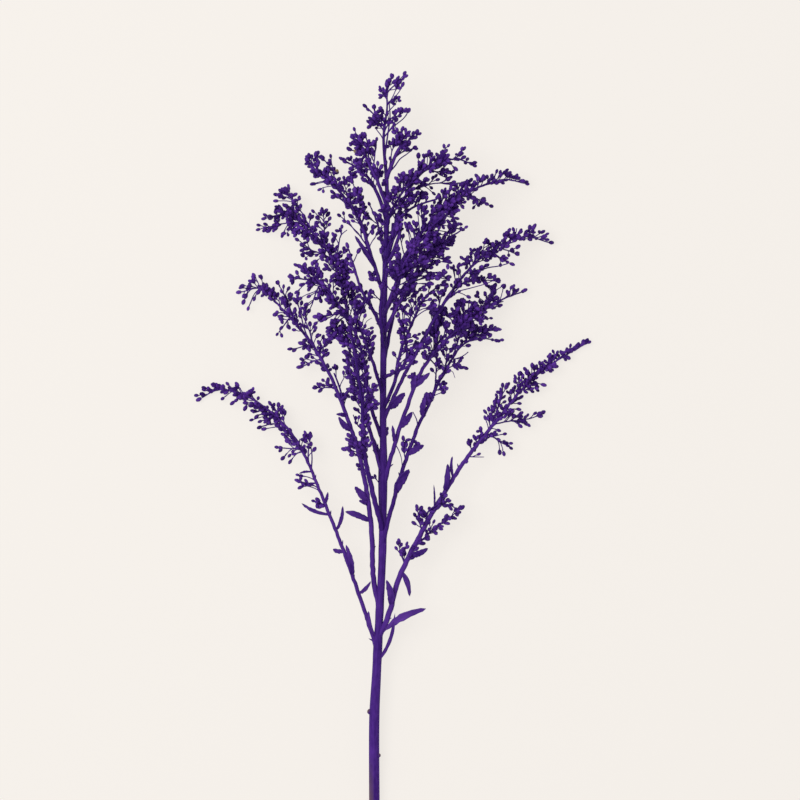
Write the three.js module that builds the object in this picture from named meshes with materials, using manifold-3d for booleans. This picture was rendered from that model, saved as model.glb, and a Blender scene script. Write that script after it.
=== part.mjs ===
// Goldenrod: one cut flowering stem that lies on a flat surface, in millimetres with +Z up.
// The plant is drawn in its own frame, x across, y along the stem from the cut foot, z above the surface.
// Every spray is one solid: an arching axis, its forks, twigs, flower heads and leaves fused together.

import * as THREE from "three";
import { mergeVertices } from "three/addons/utils/BufferGeometryUtils.js";
import Module from "manifold-3d";

const wasm = await Module();
wasm.setup();

// Main stem, foot to tip: x, y, z and radius.
const STEM_PATH = [
  [-6, 0, 2.87, 3.1],
  [-6, 50, 6, 3.1],
  [-6, 108, 10, 3.05],
  [-4.7, 134, 12, 2.7],
  [-3.2, 165, 15, 2.35],
  [-1.2, 204, 19, 2.3],
  [-0.4, 250, 23.4, 2.1],
  [0, 300, 28, 1.9],
  [0.6, 360, 32.5, 1.7],
  [1.4, 405, 35.5, 1.45],
  [1.7, 430, 37, 1.15],
  [-0.2, 458, 38.2, 0.8],
  [1.9, 476, 38.8, 0.55],
  [1.4, 487, 39, 0.45],
];
const STEM_SIDES = 8;
const STEM_STEP = 22;
// Clear gap between the stem and a spray, and between any two sprays.
const STEM_GAP = 0.35;
const SPRAY_GAP = 0.45;

// A spray leaves the stem at height root and arches through the places (x, y, z) of its path to its tip. bare
// is the share of its length with no flower heads, and twig is the length of the longest twig that it bears.
const SPRAYS = {
  spray_left_low: {
    root: 148, bare: 0.6, twig: 8,
    path: [
      [-14, 179, 14.5], [-25, 210.5, 16.5], [-37.5, 242, 17], [-51.5, 273.5, 15.5],
      [-62.5, 287.5, 13.5], [-76.5, 299, 10.5], [-91.5, 306, 7], [-102.5, 306.5, 4.5], [-111, 302, 3],
    ],
  },
  spray_right_low: {
    root: 155, bare: 0.52, twig: 9,
    path: [
      [2, 168.5, 17.5], [9.5, 194, 19], [20.5, 216.5, 19], [34, 240.5, 18], [49.5, 264.5, 16],
      [68.5, 288.5, 12.5], [87.5, 311, 9], [105, 324.5, 5.5], [123, 335, 3],
    ],
  },
  spray_left_mid: {
    root: 173, bare: 0.56, twig: 10,
    path: [
      [-6.5, 194, 17], [-7.5, 218.5, 19], [-10, 242.5, 20.5], [-15.5, 268.5, 21], [-25, 297.5, 20],
      [-38, 325.5, 17], [-51.5, 344.5, 14], [-64.5, 358.5, 11], [-76, 368.5, 7], [-86.5, 366.5, 3.5],
    ],
  },
  spray_right_mid: {
    root: 211, bare: 0.66, twig: 11,
    path: [
      [4, 233.5, 26], [12, 261, 28], [20, 283.5, 28], [27.5, 299, 27], [33, 311.5, 25], [40, 324, 22],
      [47.5, 334, 18], [57, 338, 14], [67.5, 337, 10],
    ],
  },
  spray_front_low: {
    root: 221, bare: 0.3, twig: 11,
    path: [
      [-7, 246, 34], [-12, 270, 42], [-16, 297, 50], [-17.5, 318, 55], [-20, 341.5, 58],
    ],
  },
  spray_right_fifth: {
    root: 248, bare: 0.5, twig: 13,
    path: [
      [7, 276, 31], [13, 294, 33], [17.5, 306.5, 34], [24, 320.5, 34], [34, 333.5, 32], [47, 346, 27],
      [62, 357, 19], [73.5, 362.5, 11], [83, 366, 4.5],
    ],
  },
  spray_left_inner: {
    root: 252, bare: 0.2, twig: 13,
    path: [
      [-8.5, 282, 25], [-15.5, 315, 25], [-20.5, 345, 24.5], [-26.5, 372, 22], [-35, 392, 18],
      [-47.5, 405.5, 12], [-60, 413.5, 7], [-71.5, 411.5, 4],
    ],
  },
  spray_back_low: {
    root: 262, bare: 0.5, twig: 9,
    path: [
      [-10, 285, 14], [-16, 312, 9], [-18.5, 333.5, 5],
    ],
  },
  spray_left_third: {
    root: 276, bare: 0.3, twig: 13,
    path: [
      [-6, 303, 32], [-13, 329, 36], [-21.5, 349, 36], [-30.5, 362, 33], [-41, 371.5, 27],
      [-55, 374.5, 21],
    ],
  },
  spray_right_fourth: {
    root: 288, bare: 0.5, twig: 12,
    path: [
      [8, 307, 33], [18.5, 327.5, 37], [36.5, 359.5, 37], [51.5, 379.5, 33], [67.5, 392.5, 26],
      [85.5, 399.5, 16], [100, 396.5, 6.5],
    ],
  },
  spray_right_inner: {
    root: 294, bare: 0.38, twig: 9,
    path: [
      [6, 310, 36], [10, 330, 40], [17, 346.5, 43], [24, 361, 43], [34, 370, 41],
    ],
  },
  spray_left_center: {
    root: 305, bare: 0.45, twig: 9,
    path: [
      [-7, 324, 42], [-12.5, 339, 45], [-19, 356.5, 47],
    ],
  },
  spray_right_near: {
    root: 313, bare: 0.4, twig: 6,
    path: [
      [8.5, 318, 48], [16, 322, 52], [20.5, 331, 55],
    ],
  },
  spray_back_mid: {
    root: 324, bare: 0.5, twig: 9,
    path: [
      [5, 348.5, 22], [8.5, 369.5, 14], [14.5, 390, 7],
    ],
  },
  spray_front_mid: {
    root: 332, bare: 0.35, twig: 10,
    path: [
      [-1, 356, 48], [3.5, 394.5, 62],
    ],
  },
  spray_left_short: {
    root: 340, bare: 0.35, twig: 10,
    path: [
      [-6.5, 354.5, 40], [-13, 365.5, 44], [-21, 390.5, 48],
    ],
  },
  spray_right_third: {
    root: 342, bare: 0.22, twig: 15,
    path: [
      [9, 358.5, 44], [18.5, 376, 50], [31, 391, 50], [47.5, 403, 42],
    ],
  },
  spray_front_high: {
    root: 350, bare: 0.25, twig: 14,
    path: [
      [5.5, 365.5, 55], [14.5, 385, 66], [27.5, 401.5, 66],
    ],
  },
  spray_right_second: {
    root: 360, bare: 0.2, twig: 12,
    path: [
      [9.5, 381, 38], [20.5, 398.5, 41], [37, 416, 38], [56.5, 428.5, 28], [73, 434, 16],
      [85.5, 432.5, 6.5],
    ],
  },
  spray_left_high: {
    root: 362, bare: 0.35, twig: 11,
    path: [
      [-8, 388, 36], [-15.5, 410.5, 36], [-25.5, 424.5, 32], [-35, 434.5, 24], [-45.5, 446.5, 14],
    ],
  },
  spray_back_high: {
    root: 366, bare: 0.4, twig: 9,
    path: [
      [-2.5, 390.5, 26], [-5, 406, 16], [-8.5, 418.5, 8],
    ],
  },
  spray_right_first: {
    root: 383, bare: 0.28, twig: 11,
    path: [
      [6, 403, 41], [12.5, 421.5, 43], [21, 435, 41], [33, 443, 36], [44, 445.5, 29], [53, 443, 23],
    ],
  },
  spray_front_top: {
    root: 392, bare: 0.25, twig: 11,
    path: [
      [3.5, 410.5, 48], [11, 423.5, 58], [19.5, 434, 58],
    ],
  },
  spray_left_top: {
    root: 409, bare: 0.25, twig: 8,
    path: [
      [-3, 422, 37], [-8, 432, 37], [-15, 439, 34], [-24, 445, 28],
    ],
  },
  spray_left_tip: {
    root: 417, bare: 0.3, twig: 8,
    path: [
      [-2.5, 428, 43], [-7, 438, 46], [-12, 448, 49], [-17, 460, 48],
    ],
  },
  spray_right_top: {
    root: 434, bare: 0.25, twig: 7,
    path: [
      [6.5, 446, 39.5], [10, 452.5, 41], [20, 459.5, 35],
    ],
  },
};

// Forks of the sprays: the place (x, y) where each leaves its axis and its tip (x, y, z). Where they follow,
// how far it lifts on its way, as a share of its length, and the length of its own longest twig.
const FORKS = {
  spray_left_low: [
    [-45, 261, -45, 277.5, 13], [-48.5, 268.5, -63.5, 271.5, 10, 0],
  ],
  spray_right_low: [
    [14.5, 205, 45.5, 234, 20, 0.05, 6], [12, 200, 8.5, 209.5, 21], [22, 220, 19.5, 229.5, 21],
    [27.5, 230, 37.5, 238.5, 20], [62.5, 281.5, 74, 308.5, 13], [63.5, 283, 95, 292, 6, -0.1],
    [60.5, 278.5, 73.5, 273.5, 9, 0],
  ],
  spray_left_mid: [
    [-45, 335.5, -53, 359.5, 16], [-50.5, 344, -64, 370, 10], [-43.5, 332.5, -55.5, 331.5, 12, 0],
    [-37.5, 323.5, -50, 321, 12, 0], [-29, 307, -40, 308, 16, 0], [-56, 349.5, -64, 342, 8, 0],
  ],
  spray_right_mid: [
    [32, 309, 37.5, 334, 26], [39.5, 324, 50.5, 352.5, 18, 0.12, 6], [39, 323, 47.5, 320.5, 20, 0],
    [49.5, 335, 68, 343.5, 10],
  ],
  spray_left_inner: [
    [-39.5, 398, -59, 426.5, 10], [-48.5, 406.5, -75, 405, 4.5, 0.05], [-34.5, 390, -37, 413.5, 24],
    [-27.5, 377, -25.5, 403, 28], [-30.5, 383, -48.5, 393.5, 12, 0],
  ],
  spray_left_third: [
    [-32.5, 364, -49, 380, 26], [-37.5, 368.5, -44.5, 356, 24, 0],
    [-22.5, 350.5, -38, 350.5, 30, 0], [-26, 355.5, -35, 369, 37],
  ],
  spray_left_high: [
    [-7, 386.5, -25.5, 410.5, 30], [-26.5, 426.5, -32, 444, 20], [-14, 406, -13.5, 424, 42, 0.12, 6],
  ],
  spray_left_tip: [
    [-6.5, 438.5, -10.5, 457, 54], [-5, 433.5, -4.5, 454, 47],
  ],
  spray_right_top: [
    [4, 444.5, 17.5, 451.5, 31], [7, 450.5, 11, 461, 45],
  ],
  spray_right_first: [
    [11.5, 418.5, 49.5, 431, 23], [24, 438.5, 37.5, 434.5, 28, 0],
  ],
  spray_right_second: [
    [45, 422, 63.5, 418.5, 16, 0.05],
  ],
  spray_right_fourth: [
    [39.5, 364.5, 67.5, 372.5, 20], [29, 346.5, 36, 366.5, 37], [51.5, 380, 57, 390.5, 29],
    [61.5, 388, 75.5, 383.5, 19, 0], [66, 392, 79, 389.5, 17, 0],
  ],
  spray_right_fifth: [
    [26.5, 323.5, 35, 338, 28], [42.5, 342, 52, 356.5, 25], [57.5, 353.5, 68.5, 357.5, 12, 0],
    [62, 356.5, 65.5, 368, 15],
  ],
};

// Leaves: the place (x, y) where each grows, its tip (x, y), its width and how far its tip is raised.
const LEAVES = {
  main_stem: [
    [-1.5, 141.5, 6.5, 171.5, 2.2, 6], [-4.5, 155, -9.5, 173, 3, 6], [-0.5, 155, 25, 173.5, 4.4, 6],
  ],
  spray_left_low: [
    [-18, 195, -23, 213, 3.6, 4], [-15, 183.5, -8, 191, 2.4, 6], [-25, 208.5, -31, 210, 2.8, -3],
    [-28.5, 222, -25, 236.5, 2.4, 4], [-33.5, 231, -50, 238, 2.4, -2],
    [-36.5, 237.5, -34, 245, 2, 4], [-41, 250, -50, 249.5, 2.8, -3], [-44, 257, -52, 255.5, 2.8, -3],
  ],
  spray_left_mid: [
    [-8, 227, -23.5, 233, 3.6, -3], [-9, 240, -17, 247.5, 5, 5],
    [-19.5, 281.5, -27.5, 290.5, 3.6, 3], [-22.5, 291, -29, 292, 2.4, 3],
  ],
  spray_right_low: [
    [4, 175.5, 1.5, 192, 4.4, 5], [12, 197, 15.5, 182, 3, 3], [30, 233.5, 30, 249.5, 1.2, 5],
    [35, 246, 37.5, 262, 3.4, 4], [38, 251, 40.5, 266, 2.8, -2], [16, 205.5, 26.5, 211, 4, 3],
  ],
  spray_right_mid: [
    [8, 244, 15, 259, 5.4, 5], [5, 241, 7, 247, 2, 5], [16, 267, 24, 273.5, 4, 3],
    [27, 297.5, 25.5, 305.5, 4.4, 3],
  ],
  spray_right_fifth: [
    [11, 283.5, 17, 293.5, 4.2, 5], [7, 274, 5, 285.5, 2.4, 5], [18, 308, 27.5, 317, 3, 4],
    [17, 306.5, 17.5, 315.5, 4, 2],
  ],
  spray_right_fourth: [
    [3, 295, 12.5, 305, 5.4, 6],
  ],
  spray_left_high: [
    [-5, 380, -17.5, 399, 2.8, 5],
  ],
};
const LEAF_THICKNESS = 0.9;
const LEAF_FOLD = 0.3;
// Shares of a leaf's length, and its width at each as a share of its full width.
const LEAF_SHARES = [0.24, 0.52, 0.8];
const LEAF_WIDTHS = [0.8, 1, 0.66];
// How far a leaf arches, as a share of its length and in all cases, and the least height of its tip.
const LEAF_ARCH = [0.12, 1];
const LEAF_LOWEST = 2;

// Nubs where lower side shoots once grew: height, side (-1 left, 1 right), how far each stands out, radius.
const NUBS = [[83, 1, 1.5, 1.2], [110, -1, 1.8, 1.6]];
const NUB_SIDES = 5;

// The very top of the stem: short twigs from (x, y) to (x, y, z), all fused into the stem.
const TOP_TWIGS = [
  [1.5, 482.5, 4.5, 492, 42], [1.5, 481, 9.5, 491.5, 39], [1, 479.5, -1, 484.5, 38],
  [2, 476.5, 7.5, 479.5, 42], [0.5, 463, -8, 473.5, 36], [0.5, 464, -2.5, 469, 45],
  [0.5, 461, 11.5, 472.5, 40], [0, 459.5, -5.5, 467.5, 34], [1, 465.5, 8, 470, 46],
  [1.5, 485.5, 2, 489, 40],
];

// Flower heads: closed buds on thin stalks. Stations stand at even steps along a flowering axis. Every third
// one bears a twig with heads of its own, and where twigs would be too short every second one bears a head.
const STATION = 3.2;
const TWIG_EVERY = 3;
const HEAD_EVERY = 2;
const LAST_STATION = 1.5;
const HEAD_LENGTH = 4.3;
const HEAD_RADIUS = 1.6;
// A head is widest at this share of its length.
const HEAD_WIDEST = 0.48;
const HEAD_SIDES = 3;
const STALK_SHORT = 1.2;
const STALK_LONG = 3.4;
const END_STALK = 0.6;
// A single head stands on a longer stalk than one on a twig.
const SINGLE_EXTRA = 0.5;
const TWIG_HEAD_STEP = 4.3;
const TWIG_BARE = 1.5;
const TWIG_END_STALK = 0.3;
// Side heads of a twig: where they may stand, their angles from its upper side, and their lean forwards.
const TWIG_HEAD_SHARES = [0.2, 0.9];
const TWIG_HEAD_ANGLES = [1.1, 1.9];
const TWIG_HEAD_FORWARD = 0.9;
const TWIG_RADIUS = [0.4, 0.3];
const TWIG_SIDES = 3;
const SHORTEST_TWIG = 5.5;
// The share of a flowering axis past which it bears no twigs, and the range of sizes among its twigs.
const TWIGS_END = 0.9;
const TWIG_SIZES = [0.75, 1];
// A plume's width along its axis: least share, swell, where the swell lies, and how it narrows to its tip.
const PLUME_LEAST = 0.6;
const PLUME_SWELL = 0.6;
const PLUME_SKEW = 0.7;
const PLUME_NARROWING = [1.1, 0.6];
const GOLDEN_ANGLE = THREE.MathUtils.degToRad(137.5);
// Heads turn to the upper side of their axis: the widest angle from it, where the heads begin and at the tip,
// and how far they lean forwards.
const SECUND_ANGLES = [150, 80].map(THREE.MathUtils.degToRad);
const FORWARD = 1;
// What finds no room is turned by this angle and made shorter by this share, up to so many tries.
const TRIES = 5;
const TRY_TURN = 1.3;
const TRY_SHRINK = 0.12;

// Axis radii at the stem and at the tip, and the number of sides and the step of each tube.
const AXIS_RADIUS = [1.15, 0.4];
const FORK_RADIUS = [0.5, 0.32];
const AXIS_SIDES = 4;
const FORK_SIDES = 3;
const AXIS_STEP = 18;
const FORK_STEP = 11;
// A fork leaves along its axis for this share of its way, and lifts by this share before it ends, unless its
// own row says otherwise.
const FORK_LEAVE = 0.3;
const FORK_LIFT = 0.12;
const FORK_LIFT_AT = 0.62;
// The share of a fork, and of a top twig, that bears no heads.
const FORK_BARE = 0.3;
const TOP_TWIG_BARE = 0.35;

const UP = new THREE.Vector3(0, 1, 0);
const ABOVE = new THREE.Vector3(0, 0, 1);
const { clamp, lerp, seededRandom } = THREE.MathUtils;

// Two directions square to a tangent, the first one as near to the given side as it can be.
function squareTo(tangent, side) {
  const first = side.clone().addScaledVector(tangent, -side.dot(tangent)).normalize();
  const second = tangent.clone().cross(first).normalize();
  return [first, second];
}

function ringAt(centre, tangent, radius, sides, turn = 0) {
  const [first, second] = squareTo(tangent, ABOVE);
  return Array.from({ length: sides }, (_, i) => {
    const angle = turn + (2 * Math.PI * i) / sides;
    return centre
      .clone()
      .addScaledVector(first, radius * Math.cos(angle))
      .addScaledVector(second, radius * Math.sin(angle));
  });
}

// A closed solid skinned over rings of points; a ring of a single point is a tip.
function skin(rings) {
  const faces = [];
  let start = 0;
  const fan = (ring, from, flip) => {
    for (let i = 1; i + 1 < ring.length; i++) {
      faces.push(flip ? [from, from + i + 1, from + i] : [from, from + i, from + i + 1]);
    }
  };
  fan(rings[0], 0, true);
  for (let r = 0; r + 1 < rings.length; r++) {
    const here = rings[r].length;
    const next = rings[r + 1].length;
    const sides = Math.max(here, next);
    for (let i = 0; i < sides; i++) {
      const a = start + (i % here);
      const b = start + ((i + 1) % here);
      const c = start + here + ((i + 1) % next);
      const d = start + here + (i % next);
      if (a !== b) faces.push([a, b, c]);
      if (c !== d) faces.push([a, c, d]);
    }
    start += here;
  }
  fan(rings[rings.length - 1], start, false);
  const points = rings.flat();
  return new wasm.Manifold(
    new wasm.Mesh({
      numProp: 3,
      vertProperties: new Float32Array(points.flatMap((p) => [p.x, p.y, p.z])),
      triVerts: new Uint32Array(faces.flat()),
    }),
  );
}

// A branch is a curve made into straight pieces, so that whatever grows on it is rooted inside its tube.
class Branch {
  constructor(curve, { radiusAt, sides, step, turn = 0 }) {
    this.curve = curve;
    this.radiusAt = radiusAt;
    this.length = curve.getLength();
    this.steps = Math.max(2, Math.round(this.length / step));
    this.joints = Array.from({ length: this.steps + 1 }, (_, i) => curve.getPointAt(i / this.steps));
    this.ring = (share) => ringAt(this.pointAt(share), this.tangentAt(share), radiusAt(share), sides, turn);
  }

  pointAt(share) {
    const place = clamp(share, 0, 1) * this.steps;
    const before = Math.min(Math.floor(place), this.steps - 1);
    return this.joints[before].clone().lerp(this.joints[before + 1], place - before);
  }

  tangentAt(share) {
    return this.curve.getTangentAt(clamp(share, 0, 1));
  }

  // The share of the length that lies nearest to a place (x, y), seen from above.
  shareAt(x, y) {
    const places = Array.from({ length: 201 }, (_, i) => i / 200);
    const away = places.map((share) => {
      const p = this.pointAt(share);
      return Math.hypot(p.x - x, p.y - y);
    });
    return places[away.indexOf(Math.min(...away))];
  }

  rings() {
    return this.joints.map((_, i) => this.ring(i / this.steps));
  }

  // Balls that fill the branch, to test for room.
  balls() {
    const count = Math.max(2, Math.ceil(this.length / BALL_STEP));
    return Array.from({ length: count + 1 }, (_, i) => ({
      centre: this.pointAt(i / count),
      radius: this.radiusAt(i / count),
    }));
  }
}

function taper([start, end]) {
  return (share) => lerp(start, end, share);
}

function stemRadiusAt(height) {
  const below = STEM_PATH.filter(([, y]) => y < height).length;
  const above = clamp(below, 1, STEM_PATH.length - 1);
  const [, y0, , r0] = STEM_PATH[above - 1];
  const [, y1, , r1] = STEM_PATH[above];
  return lerp(r0, r1, clamp((height - y0) / (y1 - y0), 0, 1));
}

const stemPoints = STEM_PATH.map(([x, y, z]) => new THREE.Vector3(x, y, z));
const stemCurve = new THREE.CatmullRomCurve3(stemPoints, false, "centripetal");
const stem = new Branch(stemCurve, {
  radiusAt: (share) => stemRadiusAt(stemCurve.getPointAt(share).y),
  sides: STEM_SIDES,
  step: STEM_STEP,
  turn: Math.PI / STEM_SIDES,
});

// The arching axis of a spray, from the middle of the stem to the spray's tip.
function sprayAxis({ root, path }) {
  const places = [stem.pointAt(stem.shareAt(0, root)), ...path.map((place) => new THREE.Vector3(...place))];
  const curve = new THREE.CatmullRomCurve3(places, false, "centripetal");
  return new Branch(curve, { radiusAt: taper(AXIS_RADIUS), sides: AXIS_SIDES, step: AXIS_STEP });
}

// The rings of a spray's axis. The first ring is mitred to the round of the stem: every corner of it starts
// where it comes clear of the stem.
function axisRings(axis) {
  const starts = Array.from({ length: AXIS_SIDES }, (_, corner) => {
    let share = 0;
    while (share < 0.5) {
      const p = axis.ring(share)[corner];
      const centre = stem.pointAt(stem.shareAt(0, p.y));
      if (Math.hypot(p.x - centre.x, p.z - centre.z) > stemRadiusAt(p.y) + STEM_GAP) break;
      share += 0.5 / axis.length;
    }
    return share;
  });
  const mitred = starts.map((share, corner) => axis.ring(share)[corner]);
  const clear = Math.max(...starts) + 2 / axis.length;
  const joints = axis.joints.map((_, i) => i / axis.steps).filter((share) => share > clear);
  return [mitred, ...joints.map((share) => axis.ring(share))];
}

// A fork leaves its axis along it and bends to its own tip.
function forkOf(axis, [x, y, tipX, tipY, tipZ, lift = FORK_LIFT, longestTwig = 0]) {
  const share = axis.shareAt(x, y);
  const start = axis.pointAt(share);
  const end = new THREE.Vector3(tipX, tipY, tipZ);
  const way = start.distanceTo(end);
  const first = start.clone().addScaledVector(axis.tangentAt(share), way * FORK_LEAVE);
  const second = start.clone().lerp(end, FORK_LIFT_AT).addScaledVector(UP, way * lift);
  const curve = new THREE.CubicBezierCurve3(start, first, second, end);
  const fork = new Branch(curve, { radiusAt: taper(FORK_RADIUS), sides: FORK_SIDES, step: FORK_STEP });
  return Object.assign(fork, { longestTwig });
}

// Balls along every piece that is placed, kept in cubic cells, so that the next piece can be tested for room.
const BALL_STEP = 0.8;
const CELL = 6;
const LARGEST_BALL = 3.1;
const STALK_BALLS = [0.35, 0.7];
const STALK_BALL_RADIUS = 0.6;
const cells = new Map();

function cellOf(x, y, z) {
  return `${Math.floor(x / CELL)},${Math.floor(y / CELL)},${Math.floor(z / CELL)}`;
}

function occupy(owner, balls) {
  for (const ball of balls) {
    const key = cellOf(ball.centre.x, ball.centre.y, ball.centre.z);
    if (!cells.has(key)) cells.set(key, []);
    cells.get(key).push({ ...ball, owner });
  }
}

function isClear(owner, balls) {
  return balls.every(({ centre, radius, head }) => {
    if (centre.z < radius) return false;
    const reach = radius + LARGEST_BALL + SPRAY_GAP;
    for (let x = centre.x - reach; x < centre.x + reach + CELL; x += CELL) {
      for (let y = centre.y - reach; y < centre.y + reach + CELL; y += CELL) {
        for (let z = centre.z - reach; z < centre.z + reach + CELL; z += CELL) {
          for (const other of cells.get(cellOf(x, y, z)) ?? []) {
            const own = other.owner === owner;
            if (own && !(head && other.head)) continue;
            const gap = own ? 0 : SPRAY_GAP;
            if (other.centre.distanceTo(centre) < radius + other.radius + gap) return false;
          }
        }
      }
    }
    return true;
  });
}

// A flower head on its stalk, as one spindle that is widest near its outer end.
function headRings(root, direction, stalk, sides) {
  const widest = root.clone().addScaledVector(direction, stalk + HEAD_WIDEST * HEAD_LENGTH);
  const tip = root.clone().addScaledVector(direction, stalk + HEAD_LENGTH);
  return [ringAt(widest, direction, HEAD_RADIUS, sides), [tip]];
}

function headBalls(root, direction, stalk) {
  const ball = (reach, radius, head) => ({
    centre: root.clone().addScaledVector(direction, reach),
    radius,
    head,
  });
  return [
    ...STALK_BALLS.map((share) => ball(stalk * share, STALK_BALL_RADIUS, false)),
    ball(stalk + HEAD_LENGTH / 2, HEAD_LENGTH / 2, true),
  ];
}

function singleHead(root, direction, stalk) {
  return {
    solids: [skin([[root], ...headRings(root, direction, stalk, HEAD_SIDES)])],
    balls: headBalls(root, direction, stalk),
  };
}

// A branch with a head at its end, as one skin.
function withEndHead(branch, rings, sides) {
  return skin([...rings, ...headRings(branch.pointAt(1), branch.tangentAt(1), END_STALK, sides)]);
}

// The direction in which a piece leaves a branch: forwards, and out at an angle from the branch's upper side.
function outward(branch, share, angle, forward) {
  const tangent = branch.tangentAt(share);
  const [upper, across] = squareTo(tangent, UP);
  return tangent
    .multiplyScalar(forward)
    .addScaledVector(upper, Math.cos(angle))
    .addScaledVector(across, Math.sin(angle))
    .normalize();
}

// A straight twig with heads on alternate sides and one at its end.
function twigOf(root, direction, length, seed) {
  const end = root.clone().addScaledVector(direction, length);
  const line = new THREE.LineCurve3(root, end);
  const twig = new Branch(line, { radiusAt: taper(TWIG_RADIUS), sides: TWIG_SIDES, step: length / 2 });
  const ends = [twig.ring(0), twig.ring(1)];
  const solids = [skin([...ends, ...headRings(end, direction, TWIG_END_STALK, TWIG_SIDES)])];
  const balls = [...twig.balls(), ...headBalls(end, direction, TWIG_END_STALK)];
  const count = Math.floor((length - TWIG_BARE) / TWIG_HEAD_STEP);
  for (let i = 1; i <= count; i++) {
    const share = clamp(1 - (i * TWIG_HEAD_STEP) / length, ...TWIG_HEAD_SHARES);
    const angle = (i % 2 ? 1 : -1) * lerp(...TWIG_HEAD_ANGLES, seededRandom(seed + 7 * i));
    const way = outward(twig, share, angle, TWIG_HEAD_FORWARD);
    const head = singleHead(twig.pointAt(share), way, STALK_SHORT);
    solids.push(...head.solids);
    balls.push(...head.balls);
  }
  return { solids, balls };
}

// The size of a plume's twigs at a share of its flowering length, against its longest twig.
function plumeWidth(along) {
  const swell = PLUME_LEAST + PLUME_SWELL * Math.sin(Math.PI * Math.pow(along, PLUME_SKEW));
  return swell * lerp(...PLUME_NARROWING, along);
}

// Flower heads and twigs along an axis. What would touch another spray turns a little or is left out.
function flowersAlong(owner, axis, bare, longestTwig, seed) {
  const solids = [];
  const length = axis.length;
  for (let k = 0; bare * length + k * STATION < length - LAST_STATION; k++) {
    const share = bare + (k * STATION) / length;
    const along = (share - bare) / (1 - bare);
    const key = seed * 1000 + k * 10;
    const size = longestTwig * plumeWidth(along) * lerp(...TWIG_SIZES, seededRandom(key));
    const bearsTwig = size >= SHORTEST_TWIG && along < TWIGS_END;
    if (k % (bearsTwig ? TWIG_EVERY : HEAD_EVERY) !== 0) continue;
    const turn = k * GOLDEN_ANGLE + seededRandom(key + 1);
    for (let attempt = 0; attempt < TRIES; attempt++) {
      const swing = Math.sin(turn + attempt * TRY_TURN) * lerp(...SECUND_ANGLES, along);
      const direction = outward(axis, share, swing, FORWARD);
      const root = axis.pointAt(share);
      const stalk = lerp(STALK_SHORT, STALK_LONG, seededRandom(key + 2));
      const piece = bearsTwig
        ? twigOf(root, direction, size * (1 - TRY_SHRINK * attempt), key)
        : singleHead(root, direction, stalk + SINGLE_EXTRA);
      if (isClear(owner, piece.balls)) {
        occupy(owner, piece.balls);
        solids.push(...piece.solids);
        break;
      }
    }
  }
  return solids;
}

// A lance-shaped blade, folded a little along its midrib and arched from its root to its raised tip.
function leafSolid(owner, axis, [x, y, tipX, tipY, width, rise]) {
  const root = axis.pointAt(axis.shareAt(x, y));
  const tip = new THREE.Vector3(tipX, tipY, Math.max(root.z + rise, LEAF_LOWEST));
  const arch = LEAF_ARCH[0] * root.distanceTo(tip) + LEAF_ARCH[1];
  const middle = root.clone().lerp(tip, 0.5).addScaledVector(ABOVE, arch);
  const curve = new THREE.QuadraticBezierCurve3(root, middle, tip);
  const rings = LEAF_SHARES.map((share, i) => {
    const centre = curve.getPointAt(share);
    const [upwards] = squareTo(curve.getTangentAt(share), ABOVE);
    const sideways = upwards.clone().cross(curve.getTangentAt(share));
    const half = (width * LEAF_WIDTHS[i]) / 2;
    const fold = LEAF_FOLD * half;
    const section = [[half, fold], [0, LEAF_THICKNESS / 2], [-half, fold], [0, -LEAF_THICKNESS / 2]];
    return section.map(([s, u]) => centre.clone().addScaledVector(sideways, s).addScaledVector(upwards, u));
  });
  const blade = new Branch(curve, { radiusAt: taper([width * 0.45, width * 0.3]), sides: 4, step: 5 });
  occupy(owner, blade.balls());
  return skin([[root], ...rings, [tip]]);
}

// Places are taken in this order, so that the small pieces give way to the large ones: axes, forks, leaves,
// then heads and twigs.
occupy("main_stem", stem.balls());
const topTwigs = TOP_TWIGS.map((row) => forkOf(stem, row));
const sprays = Object.entries(SPRAYS).map(([name, spray], index) => {
  const axis = sprayAxis(spray);
  const forks = (FORKS[name] ?? []).map((row) => forkOf(axis, row));
  return { name, spray, axis, forks, seed: 20 * (index + 1) };
});
function occupyBranch(owner, branch) {
  occupy(owner, [...branch.balls(), ...headBalls(branch.pointAt(1), branch.tangentAt(1), END_STALK)]);
}
topTwigs.forEach((twig) => occupyBranch("main_stem", twig));
sprays.forEach(({ name, axis }) => occupyBranch(name, axis));
for (const { name, forks } of sprays) forks.forEach((fork) => occupyBranch(name, fork));
const stemLeaves = LEAVES.main_stem.map((row) => leafSolid("main_stem", stem, row));
for (const spray of sprays) {
  spray.leaves = (LEAVES[spray.name] ?? []).map((row) => leafSolid(spray.name, spray.axis, row));
}

const STEM_COLOR = 0x4a2c80;
const SPRAY_COLOR = 0x452e6a;
const ROUGHNESS = 0.75;

// A fused solid as a named mesh. Its corners are moved onto a fine grid, and faces that shrink to nothing
// there are left out.
const GRID = 0.002;
function meshOf(name, solid, color) {
  const { vertProperties, triVerts } = solid.getMesh();
  const corners = vertProperties.map((value) => Math.round(value / GRID) * GRID);
  const fused = new THREE.BufferGeometry();
  fused.setAttribute("position", new THREE.BufferAttribute(corners, 3));
  fused.setIndex(new THREE.BufferAttribute(triVerts, 1));
  const geometry = mergeVertices(fused, GRID / 10);
  const faces = [];
  for (let i = 0; i < geometry.index.count; i += 3) {
    const [a, b, c] = [0, 1, 2].map((corner) => geometry.index.getX(i + corner));
    if (a !== b && b !== c && c !== a) faces.push(a, b, c);
  }
  geometry.setIndex(faces);
  geometry.computeVertexNormals();
  const material = new THREE.MeshStandardMaterial({ color, roughness: ROUGHNESS, metalness: 0 });
  const mesh = new THREE.Mesh(geometry, material);
  mesh.name = name;
  return mesh;
}

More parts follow.
